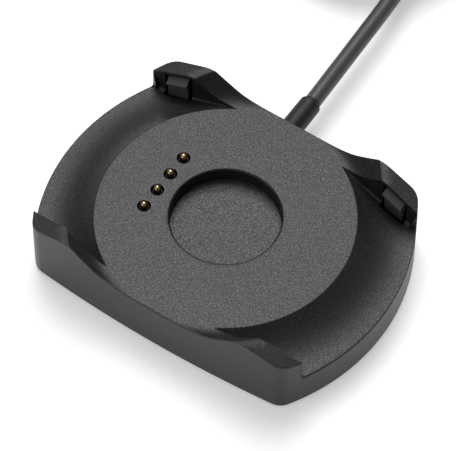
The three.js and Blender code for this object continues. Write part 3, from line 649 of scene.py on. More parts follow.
@dataclass
class Lead:
    """The lead from the dock's boot to the plug: a straight run, a tied coil and a bend."""

    diameter: float = 3.0
    coil_radius: float = 17.5
    coil_x: float = -21.1
    coil_y: float = 77.5
    pitch: float = 3.1
    middle_z: float = 5.5
    points_per_turn: int = 20
    shift_deg: float = 60
    shift_step_deg: float = 26
    last_shift_deg: float = 100
    join_span_deg: float = 17.4
    leave_span_deg: float = 90
    near: tuple = (
        (-0.0028, 0.0311, 0.0056), (-0.0029, 0.0354, 0.0056), (-0.0030, 0.0397, 0.0056),
        (-0.0031, 0.0440, 0.0056), (-0.0032, 0.0483, 0.0056), (-0.0033, 0.0526, 0.0056),
        (-0.00345, 0.0569, 0.00555), (-0.0036, 0.0611, 0.0055),
    )
    far: tuple = (
        (-0.0325, 0.0989, 0.0024), (-0.0364, 0.0987, 0.0024), (-0.0396, 0.1008, 0.0025),
        (-0.0411, 0.1044, 0.0026), (-0.0403, 0.1082, 0.0028), (-0.0379, 0.1106, 0.0030),
        (-0.0344, 0.1115, 0.0033), (-0.0300, 0.1116, 0.0036), (-0.0256, 0.1116, 0.0038),
        (-0.0213, 0.1116, 0.0038),
    )
    length: float = field(init=False)

    def slots(self) -> list[tuple[float, float]]:
        """Lays out the coil's section.

        Returns:
            The radius and height of each turn, in winding order.
        """
        outer, middle, inner = (self.coil_radius + self.pitch * k for k in (1, 0, -1))
        low, mid, high = (self.middle_z + self.pitch * k for k in (-1, 0, 1))
        return [(outer, mid), (outer, high), (middle, high), (inner, high), (inner, mid),
                (middle, mid), (middle, low), (outer, low)]

    def polar(self, point: Sequence[float]) -> tuple[float, float]:
        """A point's radius in millimetres and angle in degrees about the coil's centre."""
        x, y = point[0] / MM - self.coil_x, point[1] / MM - self.coil_y
        return math.hypot(x, y), math.degrees(math.atan2(y, x))

    def section_at(self, angle: float) -> tuple[float, float]:
        """Finds the wound lead in the coil's section.

        Each turn moves over to the next place while the one after it has already left.

        Args:
            angle: how far round the coil, in degrees, counted on through every turn.

        Returns:
            The lead's radius and height there.
        """
        slots = self.slots()
        radius, height = slots[0]
        for k in range(len(slots) - 1):
            start = self.last_shift_deg + self.shift_step_deg * (len(slots) - 2 - k) + 360 * k
            t = min(1.0, max(0.0, (angle - start) / self.shift_deg))
            share = t * t * (3 - 2 * t)
            radius += share * (slots[k + 1][0] - slots[k][0])
            height += share * (slots[k + 1][1] - slots[k][1])
        return radius, height

    def coil(self) -> list[tuple[float, float, float]]:
        """Winds the coil.

        Returns:
            Its points in metres, from where the lead joins it to where it leaves.
        """
        join_radius, join = self.polar(self.near[-1])
        leave_radius, leave = self.polar(self.far[0])
        leave += 360 * (len(self.slots()) - 1)
        count = round((leave - join) / 360 * self.points_per_turn)
        points = []
        for i in range(1, count):
            angle = join + (leave - join) * i / count
            radius, height = self.section_at(angle)
            inward = max(0.0, 1 - (angle - join) / self.join_span_deg)
            outward = max(0.0, 1 - (leave - angle) / self.leave_span_deg)
            radius += (join_radius - self.slots()[0][0]) * inward ** 2
            radius += (leave_radius - self.slots()[-1][0]) * outward ** 2
            turn = math.radians(angle)
            x, y = self.coil_x + radius * math.cos(turn), self.coil_y + radius * math.sin(turn)
            points.append((x * MM, y * MM, height * MM))
        return points

    def build(self) -> bpy.types.Object:
        """Lays the lead as one curve and dresses it.

        Returns:
            The lead.
        """
        points = [*self.near, *self.coil(), *self.far]
        data = bpy.data.curves.new("lead", "CURVE")
        data.dimensions = "3D"
        data.bevel_depth = self.diameter / 2 * MM
        data.bevel_resolution = 6
        data.resolution_u = 6
        data.use_fill_caps = True
        spline = data.splines.new("BEZIER")
        spline.bezier_points.add(len(points) - 1)
        for knot, point in zip(spline.bezier_points, points):
            knot.co = point
            knot.handle_left_type = "AUTO"
            knot.handle_right_type = "AUTO"
        piece = bpy.data.objects.new("lead", data)
        bpy.context.scene.collection.objects.link(piece)
        data.materials.append(Finishes.JACKET_TPE.value.material())
        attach(piece, "dock")
        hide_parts("lead_near", "lead_coil", "lead_far")
        self.length = sum(math.dist(a, b) for a, b in zip(points, points[1:]))
        log.info("lead: %.3f m over %d points", self.length, len(points))
        return piece


# ---------- the dock's form ----------


def smooth_min(a: np.ndarray, b: np.ndarray, reach: float) -> np.ndarray:
    """The lower of two heights, rounded off where they are less than `reach` apart."""
    share = np.clip(0.5 + 0.5 * (b - a) / reach, 0, 1)
    return b * (1 - share) + a * share - reach * share * (1 - share)


@dataclass
class DockForm:
    """The dock's outer form, as columns of points that stand all round its outline.

    Lengths are in millimetres. A plan point is a row of x and y. Rim holds the outline's points and
    normal the outward directions there. Flags has three columns, which say where a post stands: at
    the deck's top, at its lip, and at the outer wall, which starts a little later.
    """

    half_length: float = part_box("outer_shell")[1].x / MM
    half_width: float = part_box("outer_shell")[1].y / MM
    base_z: float = mount_z("underside")
    seat_z: float = mount_z("seat_face")
    crest_z: float = mount_z("seat_face") + 4.0
    rim_z: float = mount_z("seat_face") - 3.4
    side_radius: float = 249
    end_radius: float = 36.6
    corner_radius: float = 3.2
    seat_radius: float = 22.1
    trough_end: float = 31.3
    slope_start: float = 22.0
    slope_fillet: float = 3.9
    slope_deg: float = 50
    wall_y: float = 19.7
    wall_radius: float = 168
    fall_start: float = 18.0
    fall: float = 0.33
    facet_fall: float = 0.25
    facet_y: float = 21.6
    edge: float = 0.12
    lip: float = 0.2
    post_groove: float = 0.1
    rim_groove: float = 0.25
    end_gap: float = 0.05
    end_skin: float = 0.2
    foot_fillet: float = 0.7
    roof_crease: float = 0.12
    crest_crease: float = 0.1
    end_steps: int = 44
    corner_steps: int = 14
    side_steps: int = 60
    steps_beside_ends: tuple = (0.03, 0.12, 0.3, 0.6)
    rim: np.ndarray = field(init=False)
    normal: np.ndarray = field(init=False)
    flags: np.ndarray = field(init=False)

    def __post_init__(self) -> None:
        """Works out the columns once."""
        self._columns()

    def floor(self, r: np.ndarray) -> np.ndarray:
        """Finds the height of the seat and the troughs.

        Args:
            r: distances from the middle.

        Returns:
            The heights there.
        """
        drop, run = self.seat_z - self.rim_z, self.trough_end - self.seat_radius
        arc = (run ** 2 + drop ** 2) / (2 * drop)
        out = np.clip(self.trough_end - np.maximum(r, self.seat_radius), 0, run)
        return self.rim_z + arc - np.sqrt(arc ** 2 - out ** 2)

    def bowl(self, r: np.ndarray) -> np.ndarray:
        """Finds the height of the slope that rises from the seat: a fillet, then a cone.

        Args:
            r: distances from the middle.

        Returns:
            The heights there.
        """
        angle = math.radians(self.slope_deg)
        turn_end = self.slope_start + self.slope_fillet * math.sin(angle)
        turn_z = self.seat_z + self.slope_fillet * (1 - math.cos(angle))
        inside = np.clip(r - self.slope_start, 0, self.slope_fillet * math.sin(angle))
        fillet = self.seat_z + self.slope_fillet - np.sqrt(self.slope_fillet ** 2 - inside ** 2)
        return np.where(r > turn_end, turn_z + (r - turn_end) * math.tan(angle), fillet)

    def roof(self, xy: np.ndarray) -> np.ndarray:
        """Finds the height of the posts' falling tops and crest facets, and of their soft crease.

        Args:
            xy: plan points.

        Returns:
            The heights there.
        """
        falling = self.crest_z - self.fall * (np.abs(xy[:, 0]) - self.fall_start)
        facet = self.crest_z - self.facet_fall * (self.facet_y - np.abs(xy[:, 1]))
        return smooth_min(falling, facet, self.roof_crease)

    def top(self, xy: np.ndarray, post: np.ndarray) -> np.ndarray:
        """Finds the height of the form.

        Args:
            xy: plan points.
            post: which of them are on a post. The rest are on the seat or in a trough.

        Returns:
            The heights there.
        """
        r = np.linalg.norm(xy, axis=1)
        raised = smooth_min(self.bowl(r), self.roof(xy), self.crest_crease)
        foot = self.floor(r) + self.fillet_rise(xy, np.full(len(xy), self.foot_fillet))
        return np.where(post, np.maximum(raised, self.floor(r)), foot)

    def fillet_rise(self, xy: np.ndarray, radius: np.ndarray) -> np.ndarray:
        """Finds how far the fillet at the foot of the posts' inner walls lifts the floor.

        Args:
            xy: plan points.
            radius: the fillet's radius at each.

        Returns:
            The rise at each point.
        """
        away = self.wall_y - xy[:, 0] ** 2 / (2 * self.wall_radius) - np.abs(xy[:, 1])
        inside = np.clip(radius - away, 0, radius)
        return radius - np.sqrt(radius ** 2 - inside ** 2)

    def _corner(self) -> tuple[float, float]:
        """Finds the corner arc, which lies inside both the side arc and the end arc.

        Returns:
            The x and y of its centre.
        """
        end_x, side_y = self.half_length - self.end_radius, self.half_width - self.side_radius
        to_side, to_end = self.side_radius - self.corner_radius, self.end_radius - self.corner_radius
        span = math.hypot(end_x, side_y)
        along = (to_end ** 2 - to_side ** 2 + span ** 2) / (2 * span)
        across = math.sqrt(to_end ** 2 - along ** 2)
        ux, uy = -end_x / span, side_y / span
        return end_x + along * ux - across * uy, along * uy + across * ux

    def _columns(self) -> None:
        """Sets the points, outward normals and post flags, closer together where a post ends."""
        end_x, side_y = self.half_length - self.end_radius, self.half_width - self.side_radius
        corner_x, corner_y = self._corner()
        end_turn = math.atan2(corner_y, corner_x - end_x)
        side_turn = math.atan2(corner_y - side_y, corner_x)
        fine = np.linspace(0, end_turn, 4001)
        arc_x, arc_y = end_x + self.end_radius * np.cos(fine), self.end_radius * np.sin(fine)
        over = arc_y - (self.wall_y - arc_x ** 2 / (2 * self.wall_radius))
        rounded_off = self.edge * (np.sin(fine) + arc_x / self.wall_radius * np.cos(fine))
        starts = [float(np.interp(w, over, fine)) for w in (0, self.end_gap)]
        starts.insert(0, float(np.interp(0, over - rounded_off, fine)))
        steps = np.array(self.steps_beside_ends) / self.end_radius
        beside = [s + sign * d for s in starts for d in steps for sign in (-1, 1)]
        end = np.unique(np.round([*np.linspace(0, end_turn, self.end_steps), *beside], 6))
        end = end[(end >= 0) & (end <= end_turn)]
        end = end[np.concatenate([[True], np.diff(end) > 5e-4])]
        corner = np.linspace(end_turn, side_turn, self.corner_steps)[1:]
        side = np.linspace(side_turn, math.pi / 2, self.side_steps)[1:]
        turns = np.concatenate([end, corner, side])
        centres = np.array([(end_x, 0)] * len(end) + [(corner_x, corner_y)] * len(corner)
                           + [(0, side_y)] * len(side), float)
        radii = np.array([self.end_radius] * len(end) + [self.corner_radius] * len(corner)
                         + [self.side_radius] * len(side), float)
        normals = np.stack([np.cos(turns), np.sin(turns)], axis=1)
        points = centres + normals * radii[:, None]
        on_end = np.arange(len(turns)) < len(end)
        flags = np.stack([~on_end | (turns > s) for s in starts], axis=1)
        self.rim = self._all_round(points, True)
        self.normal = self._all_round(normals, True)
        self.flags = self._all_round(flags, False)

    @staticmethod
    def _all_round(values: np.ndarray, signed: bool) -> np.ndarray:
        """Mirrors a quarter's values into the whole loop.

        Args:
            values: one row for each column of the quarter.
            signed: whether the rows are x and y, which change sign from quarter to quarter.

        Returns:
            The rows in order round the outline, the shared ones once.
        """
        quarters = []
        for sign_x, sign_y in ((1, 1), (-1, 1), (-1, -1), (1, -1)):
            turned_over = values * np.array([sign_x, sign_y]) if signed else values
            quarters.append(turned_over if sign_x == sign_y else turned_over[::-1])
        first, second, third, fourth = quarters
        return np.concatenate([first, second[1:], third[1:], fourth[1:-1]])

    def wall_reach(self, direction: np.ndarray, away: np.ndarray | float = 0.0) -> np.ndarray:
        """Finds how far out a ray from the middle meets the posts' inner wall.

        Args:
            direction: the rays' unit directions.
            away: how far short of the wall to stop.

        Returns:
            The distance from the middle on each ray.
        """
        bend = direction[:, 0] ** 2 / (2 * self.wall_radius)
        rise = np.abs(direction[:, 1])
        across = self.wall_y - away
        return 2 * across / (rise + np.sqrt(rise ** 2 + 4 * bend * across))

    def wall_depth(self) -> np.ndarray:
        """Finds how far inwards the posts' inner wall lies from the outline.

        Returns:
            The distance at each of the outline's points, below zero where a trough is.
        """
        x, y = np.abs(self.rim).T
        lean_x, lean_y = np.abs(self.normal).T
        behind = y - (self.wall_y - x ** 2 / (2 * self.wall_radius))
        return behind / (lean_y + lean_x * x / self.wall_radius)

    def crest_reach(self, direction: np.ndarray) -> np.ndarray:
        """Finds where the slope meets the post's top, by halving the span forty times.

        Args:
            direction: the rays' unit directions.

        Returns:
            The distance from the middle on each ray.
        """
        low = np.full(len(direction), self.slope_start)
        high = np.full(len(direction), self.half_length * 1.5)
        for _ in range(40):
            middle = (low + high) / 2
            above = self.bowl(middle) > self.roof(direction * middle[:, None])
            high = np.where(above, middle, high)
            low = np.where(above, low, middle)
        return (low + high) / 2


# ---------- the deck ----------


@dataclass
class Deck:
    """The top deck: seat, recess, troughs, slopes and posts, one moulding with a lip all round."""

    form: DockForm
    recess_radius: float = 9.45
    recess_depth: float = 3.0
    recess_fillet: float = 0.12
    chamfer: float = 0.25
    skin: float = 1.6
    inset: float = 1.5
    wall: float = 1.4
    bottom_z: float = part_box("top_deck")[0].z / MM
    wall_edge: float = 0.12
    pin_x: float = -12.5
    pin_pitch: float = 3.93
    window_radius: float = 1.1
    boss_x: float = 13.5
    boss_y: float = 15.5
    boss_radius: float = 2.4
    boss_hole: float = 1.1
    boss_low: float = 3.9
    boss_overlap: float = 1.0
    boss_hole_stop: float = 2.2
    soft: float = 0.06
    seat_steps: tuple = (10.4, 13, 16, 19, 21)
    trough_shares: tuple = (0, 0.06, 0.16, 0.28, 0.42, 0.56, 0.7, 0.84, 0.95, 1)
    crest_steps: tuple = (-0.35, -0.18, -0.07, 0, 0.07, 0.18, 0.35)

    def rings(self) -> list[np.ndarray]:
        """Lays out the whole deck.

        Returns:
            Its rings, from the recess's middle out to the rim and back underneath.
        """
        form = self.form
        post = form.flags[:, 0]
        inner = form.rim - form.normal * form.edge
        reach = np.linalg.norm(inner, axis=1)
        ray = inner / reach[:, None]
        wall = np.where(post, np.clip(form.wall_reach(ray), form.slope_start, reach), reach)
        seat = np.where(post, np.clip(wall, form.slope_start, form.seat_radius), form.seat_radius)
        rings = self._recess(ray)
        rings += self._seat(ray, seat, wall)
        rings += self._trough_and_wall(ray, seat, wall, reach, inner, post)
        rings += self._rim(inner, post)
        rings += self._underneath(ray)
        return rings

    def _recess(self, ray: np.ndarray) -> list[np.ndarray]:
        """Lays out the sensor recess: floor, fillet, wall and the chamfer round its mouth.

        Args:
            ray: the unit direction of each column.

        Returns:
            The rings, from the middle outwards.
        """
        floor_z = self.form.seat_z - self.recess_depth
        radius, top, soft = self.recess_radius, self.form.seat_z, self.soft
        profile = [(radius * 0.4, floor_z), (radius * 0.8, floor_z)]
        for k in range(6):
            turn = math.pi / 2 * k / 5
            profile.append((radius - self.recess_fillet * (1 - math.sin(turn)),
                            floor_z + self.recess_fillet * (1 - math.cos(turn))))
        profile += [
            (radius, top - self.chamfer - soft), (radius + soft / 2, top - self.chamfer + soft / 2),
            (radius + self.chamfer - soft / 2, top - soft / 2), (radius + self.chamfer + soft, top),
        ]
        return [level(ray * r, z) for r, z in profile]

    def _seat(self, ray: np.ndarray, seat: np.ndarray, wall: np.ndarray) -> list[np.ndarray]:
        """Lays out the flat seat and its crisp edge.

        Args:
            ray: the unit direction of each column.
            seat: how far out the seat ends.
            wall: how far out a post's inner wall stands.

        Returns:
            The rings, from the middle outwards.
        """
        top = self.form.seat_z
        rings = [level(ray * r, top) for r in self.seat_steps]
        for out, down in ((-0.14, 0.0), (-0.04, 0.006), (0.04, 0.05)):
            r = np.minimum(seat + out, wall)
            z = np.where(r < wall, top - down, self.form.floor(r))
            rings.append(level(ray * r[:, None], z))
        return rings

    def _trough_and_wall(self, ray: np.ndarray, seat: np.ndarray, wall: np.ndarray, reach: np.ndarray,
                         inner: np.ndarray, post: np.ndarray) -> list[np.ndarray]:
        """Lays out the troughs, the posts' inner walls with their fillets, and the posts' tops.

        Args:
            ray: the unit direction of each column.
            seat: how far out the seat ends.
            wall: how far out a post's inner wall stands.
            reach: how far out the deck's edge starts.
            inner: the plan points where it starts.
            post: which columns stand on a post.

        Returns:
            The rings, from the seat outwards.
        """
        form = self.form
        foot = ray * wall[:, None]
        normal = -np.sign(foot) * np.column_stack([np.abs(foot[:, 0]) / form.wall_radius,
                                                   np.ones(len(foot))])
        normal /= np.linalg.norm(normal, axis=1)[:, None]
        height = np.where(post, form.top(foot, post) - form.floor(wall), 0)
        room = np.maximum(reach - wall, 0)
        fillet = np.where(post, np.clip(0.45 * height, 1e-4, form.foot_fillet), form.foot_fillet)
        rounded = np.minimum(np.minimum(self.wall_edge, 0.3 * height), 0.3 * room)
        rings = []
        start = np.minimum(seat + 0.12, wall)
        end = np.clip(form.wall_reach(ray, fillet), start, wall)
        for share in self.trough_shares:
            r = start + (end - start) * share
            rings.append(level(ray * r[:, None], form.floor(r)))
        for k in range(1, 7):
            away = fillet * (1 - math.sin(math.pi / 2 * k / 6))
            r = np.clip(form.wall_reach(ray, away), end, wall)
            xy = ray * r[:, None]
            rings.append(level(xy, form.floor(r) + form.fillet_rise(xy, fillet)))
        base = rings[-1][:, 2]
        for k in range(4):
            turn = math.pi / 2 * k / 3
            xy = foot - normal * (rounded * (1 - math.cos(turn)))[:, None]
            z = form.top(xy, post) - rounded * (1 - math.sin(turn))
            rings.append(level(xy, np.maximum(z, base)))
        return rings + self._post_top(ray, foot - normal * rounded[:, None], inner, reach, post)

    def _post_top(self, ray: np.ndarray, near: np.ndarray, inner: np.ndarray, reach: np.ndarray,
                  post: np.ndarray) -> list[np.ndarray]:
        """Lays out the slope, the crest and the top of the posts.

        Args:
            ray: the unit direction of each column.
            near: the plan points at the inner wall's upper edge.
            inner: the plan points where the deck's edge starts.
            reach: how far out they are.
            post: which columns stand on a post.

        Returns:
            The rings, from the wall's edge out to the rim.
        """
        form = self.form
        from_r = np.linalg.norm(near, axis=1)
        crest = np.clip(form.crest_reach(ray), from_r, reach)
        width = np.maximum(reach - from_r, 1e-6)
        beside = self.crest_steps[-1]
        below = np.maximum(crest - beside - from_r, 0)
        above = np.maximum(reach - 0.1 - crest - beside, 0)
        stations = [from_r + share * below for share in (0.04, 0.15, 0.3, 0.45, 0.6, 0.75, 0.9)]
        stations += [crest + step for step in self.crest_steps]
        stations += [crest + beside + share * above for share in (0.33, 0.66, 1)]
        stations.append(reach)
        rings = []
        for r in stations:
            share = np.where(width > 1e-5, (np.clip(r, from_r, reach) - from_r) / width, 1.0)
            xy = near + (inner - near) * share[:, None]
            rings.append(level(xy, form.top(xy, post)))
        return rings

    def _rim(self, inner: np.ndarray, post: np.ndarray) -> list[np.ndarray]:
        """Lays out the rounded outer edge, the lip below it and the step in to the deck's own wall.

        Args:
            inner: the plan points where the edge starts.
            post: which columns stand on a post.

        Returns:
            The rings, from the top down.
        """
        form = self.form
        rings = []
        for out, down in rounding(form.edge, 5)[1:]:
            xy = inner + form.normal * out
            rings.append(level(xy, form.top(xy, post) - down))
        lip_post = form.flags[:, 1]
        rings.append(level(form.rim, form.top(form.rim, lip_post) - form.lip))
        deep = np.clip(form.wall_depth() - form.end_skin, 0, self.inset)
        back = form.rim - form.normal * np.where(lip_post, deep, self.inset)[:, None]
        under = form.rim - form.normal * self.inset
        rings.append(level(back, form.top(back, lip_post) - form.lip))
        rings.append(level(back, form.floor(np.linalg.norm(back, axis=1)) - form.lip))
        rings.append(level(under, form.floor(np.linalg.norm(under, axis=1)) - form.lip))
        return rings

    def _underneath(self, ray: np.ndarray) -> list[np.ndarray]:
        """Lays out the deck's hidden wall, the underside of its skin and the recess's cup.

        Args:
            ray: the unit direction of each column.

        Returns:
            The rings, from the wall's outside in to the cup's middle.
        """
        form = self.form
        outer = form.rim - form.normal * self.inset
        inner = form.rim - form.normal * (self.inset + self.wall)
        cup = ray * (self.recess_radius + self.skin)
        cup_z = form.seat_z - self.recess_depth - self.skin
        rings = [level(outer, self.bottom_z), level(inner, self.bottom_z)]
        for share in (0, 0.15, 0.3, 0.45, 0.6, 0.8, 1):
            xy = inner + (cup - inner) * share
            skin_r = np.linalg.norm(xy, axis=1) + self.skin / 2
            rings.append(level(xy, form.floor(skin_r) - self.skin))
        rings += [level(cup, cup_z), level(cup * 0.4, cup_z)]
        return rings

    def pins(self) -> list[float]:
        """Where the contact pins stand, front to back."""
        return [(i - 1.5) * self.pin_pitch for i in range(4)]

    def tools(self) -> list[bpy.types.Object]:
        """Makes the bodies that cut the pin windows, the latch windows and the boot's hole.

        Returns:
            The bodies.
        """
        top = self.form.seat_z
        radius, soft = self.window_radius, 0.1
        made = [
            turned(f"pin_tool_{i}", [(radius, 0), (radius, top - soft), (radius + 2 * soft, top + soft),
                                     (radius + 2 * soft, top + 4)], (self.pin_x, y, 0))
            for i, y in enumerate(self.pins())
        ]
        made += [LatchSet().window(end, side) for end, side in POSTS]
        made.append(Boot().hole_tool())
        return made

    def bosses(self) -> list[bpy.types.Object]:
        """Makes the four screw bosses under the seat.

        Returns:
            The bosses, each with its blind hole.
        """
        low, high = self.boss_low, self.form.seat_z - self.boss_overlap
        hole_top = self.form.seat_z - self.boss_hole_stop
        middle = 0.2
        profile = [(self.boss_hole, low), (self.boss_radius, low), (self.boss_radius, high),
                   (middle, high), (middle, hole_top), (self.boss_hole, hole_top)]
        return [
            turned(f"boss_{end}_{side}", profile,
                   (SIGN[side] * self.boss_x, SIGN[end] * self.boss_y, 0), looped=True)
            for end, side in POSTS
        ]

    def build(self) -> None:
        """Builds the deck and dresses it."""
        piece = loft("deck", self.rings())
        cut(piece, self.bosses(), "UNION")
        cut(piece, self.tools())
        smooth(piece)
        dress(piece, Finishes.SPARK_ABS)
        stand_for(piece, "dock", "top_deck")
        log.info("deck: %d faces", len(piece.data.polygons))


@dataclass
class Shell:
    """The outer wall, which stops short of the deck's lip all round."""

    form: DockForm
    thickness: float = 1.2
    foot_edge: float = 0.35
    top_edge: float = 0.12
    band_z: float = 6.0
    thinnest: float = 0.02

    def build(self) -> None:
        """Builds the outer wall and dresses it."""
        form = self.form
        post = form.flags[:, 2]
        gap = form.lip + np.where(post, form.post_groove, form.rim_groove)
        inside = form.rim - form.normal * self.thickness
        rings = [level(inside, form.base_z)]
        for out, up in rounding(self.foot_edge, 5):
            rings.append(level(form.rim - form.normal * (self.foot_edge - out), form.base_z + up))
        rings.append(level(form.rim, self.band_z))
        outer_top = form.top(form.rim, post) - gap
        for out, down in reversed(rounding(self.top_edge, 3)):
            xy = form.rim - form.normal * (self.top_edge - out)
            rings.append(level(xy, outer_top - down))
        deep = np.clip(form.wall_depth() - form.end_skin - form.end_gap, self.thinnest, self.thickness)
        back = form.rim - form.normal * np.where(post, deep, self.thickness)[:, None]
        rings.append(level(back, form.top(back, post) - gap))
        rings.append(level(back, form.floor(np.linalg.norm(back, axis=1)) - gap))
        rings.append(level(inside, form.floor(np.linalg.norm(inside, axis=1)) - gap))
        piece = loft("outer_wall", rings, looped=True)
        cut(piece, [Boot().hole_tool()])
        smooth(piece)
        dress(piece, Finishes.SATIN_ABS)
        stand_for(piece, "dock", "outer_shell")
        log.info("outer wall: %d faces", len(piece.data.polygons))


# ---------- latches ----------


@dataclass
class LatchSet:
    """The four snap fingers and the windows they move in."""

    x: float = 21.9
    y: float = 18.22
    wall_radius: float = 168
    half_width: float = 2.6
    front: float = -1.0
    back: float = 2.4
    outer_top: float = 12.2
    inner_top: float = 13.8
    finger_edge: float = 0.12

    def window(self, end: str, side: str) -> bpy.types.Object:
        """Makes the body that cuts one window.

        Args:
            end: front or back.
            side: left or right.

        Returns:
            The body, with its top slanting as the post's does.
        """
        w = self.half_width
        outline = [(-w, 0), (w, 0), (w, self.outer_top), (-w, self.inner_top)]
        turn = -math.asin(self.x / self.wall_radius)
        rings = []
        for y in (self.front, self.back):
            points = []
            for along, z in outline:
                px = along * math.cos(turn) - y * math.sin(turn) + self.x
                py = along * math.sin(turn) + y * math.cos(turn) + self.y
                points.append((SIGN[side] * px, SIGN[end] * py, z))
            rings.append(np.array(points))
        return loft(f"window_tool_{end}_{side}", rings)

    def build(self) -> None:
        """Rounds off the fingers and dresses them."""
        for end, side in POSTS:
            piece = polished_copy(f"latch_{end}_{side}", f"snap_finger_{end}_{side}", self.finger_edge, 3)
            dress(piece, Finishes.LATCH_ACETAL)
        log.info("four snap fingers")


# ---------- pins ----------


@dataclass
class ContactPins:
    """The sprung contact pins, their barrels and their springs."""

    deck: Deck
    radius: float = 0.6
    head_radius: float = 0.66
    head_height: float = 0.9
    proud: float = 1.0
    bottom_z: float = 7.6
    barrel_radius: float = 0.95
    bore: float = 0.72
    barrel_top: float = 10.5
    barrel_bottom: float = 4.6
    barrel_floor: float = 5.0
    travel: float = 1.0
    wire_edge: float = 0.03
    tip_steps: int = 8

    def plunger_profile(self) -> list[tuple[float, float]]:
        """Draws half a plunger.

        Returns:
            Pairs of radius and height, from the bottom to the round tip.
        """
        tip = self.deck.form.seat_z + self.proud
        shoulder = self.bottom_z + self.head_height
        profile = [(self.head_radius - 0.05, self.bottom_z), (self.head_radius, self.bottom_z + 0.05),
                   (self.head_radius, shoulder), (self.radius, shoulder + 0.2)]
        for k in range(self.tip_steps + 1):
            turn = math.radians(88) * k / self.tip_steps
            profile.append((self.radius * math.cos(turn), tip - self.radius * (1 - math.sin(turn))))
        return profile

    def barrel_profile(self) -> list[tuple[float, float]]:
        """Draws half a barrel.

        Returns:
            Pairs of radius and height, from the bottom to the rolled lip and down the bore.
        """
        gap = self.radius + 0.03
        return [(self.barrel_radius, self.barrel_bottom), (self.barrel_radius, self.barrel_top - 0.08),
                (self.barrel_radius - 0.08, self.barrel_top), (gap, self.barrel_top),
                (gap, self.barrel_top - 0.3), (self.bore, self.barrel_top - 0.5),
                (self.bore, self.barrel_floor), (0.1, self.barrel_floor)]

    def build(self) -> None:
        """Builds the pins, barrels and springs in their row and dresses them.
        """
        for i, y in enumerate(self.deck.pins(), start=1):
            centre = (self.deck.pin_x, y, 0)
            plunger = turned(f"contact_pin_{i}", self.plunger_profile(), centre)
            smooth(plunger)
            dress(plunger, Finishes.GOLD)
            stand_for(plunger, f"pin_{i}", f"pin_plunger_{i}")
            barrel = turned(f"pin_sleeve_{i}", self.barrel_profile(), centre)
            smooth(barrel)
            # The barrel is painted nearly black: painted shade inside the pin's hole.
            dress(barrel, Finishes.DARK_BRASS)
            stand_for(barrel, "dock", f"pin_barrel_{i}")
            spring = polished_copy(f"pin_spring_{i}", f"coil_spring_{i}", self.wire_edge)
            dress(spring, Finishes.SPRING_STEEL)
            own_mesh(spring)
        log.info("four contact pins")


# ---------- boot, feet, screws ----------


@dataclass
class Boot:
    """The soft boot that the lead comes out of. Its core reaches a little way into the lead."""

    x: float = -2.8
    z: float = 5.6
    radius: float = 2.0
    neck: float = 1.8
    collar: float = 2.7
    inner_y: float = 17.0
    collar_y: float = 18.9
    end_y: float = 30.8
    round_off: float = 0.5
    core: float = 1.44
    core_length: float = 0.4
    taper: float = 0.06
    clearance: float = 0.1
    tool_length: float = 40

    def hole_tool(self) -> bpy.types.Object:
        """The body that cuts the hole for the boot."""
        hole = self.radius + self.clearance
        return turned("boot_tool", [(hole, 0), (hole, self.tool_length)], (self.x, 0, self.z), Axis.Y)

    def build(self) -> bpy.types.Object:
        """Builds the boot and dresses it.

        Returns:
            The boot.
        """
        wall = self.sleeve_start()
        profile = [(self.collar - 0.2, self.inner_y), (self.collar, self.inner_y + 0.2),
                   (self.collar, self.collar_y - 0.2), (self.collar - 0.2, self.collar_y),
                   (self.neck, self.collar_y), (self.neck, wall),
                   (self.radius - 0.1, wall), (self.radius, wall + 0.1), (self.radius, wall + 0.4)]
        last = self.radius - self.taper
        for inward, along in reversed(rounding(self.round_off, 6)):
            profile.append((last - self.round_off + inward, self.end_y - along))
        profile += [(self.core, self.end_y), (self.core, self.end_y + self.core_length)]
        piece = turned("lead_boot", profile, (self.x, 0, self.z), Axis.Y, steps=64)
        smooth(piece)
        dress(piece, Finishes.BOOT_TPE)
        stand_for(piece, "dock", "strain_relief")
        log.info("boot")
        return piece

    def sleeve_start(self) -> float:
        """Where the boot's sleeve starts, just proud of the back wall."""
        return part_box("outer_shell")[1].y / MM + self.clearance


@dataclass
class Underside:
    """The bottom cover, its screws and its feet."""

    foot_radius: float = 3.6
    foot_edge: float = 0.35
    cover_edge: float = 0.12
    screw_edge: float = 0.06

    def build(self) -> None:
        """Builds what shows from below and dresses it."""
        cover = polished_copy("bottom_cover", "base_cover", self.cover_edge)
        dress(cover, Finishes.INNER_ABS)
        for end, side in POSTS:
            self.foot(end, side)
            screw = polished_copy(f"screw_{end}_{side}", f"cross_screw_{end}_{side}", self.screw_edge)
            dress(screw, Finishes.ZINC)
        log.info("cover, four screws and four feet")

    def foot(self, end: str, side: str) -> None:
        """Builds one rubber foot, a flat pad with a soft edge, and dresses it.

        Args:
            end: front or back.
            side: left or right.
        """
        low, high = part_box(f"foot_{end}_{side}")
        centre = ((low.x + high.x) / 2 / MM, (low.y + high.y) / 2 / MM, 0)
        top = high.z / MM
        profile = [(self.foot_radius * 0.5, 0)]
        for out, up in rounding(self.foot_edge, 5):
            profile.append((self.foot_radius - self.foot_edge + out, up))
        profile += [(self.foot_radius, top), (self.foot_radius * 0.5, top)]
        piece = turned(f"rubber_foot_{end}_{side}", profile, centre, steps=64)
        smooth(piece)
        dress(piece, Finishes.SILICONE)
        stand_for(piece, "dock", f"foot_{end}_{side}")


# ---------- plug and inner parts ----------


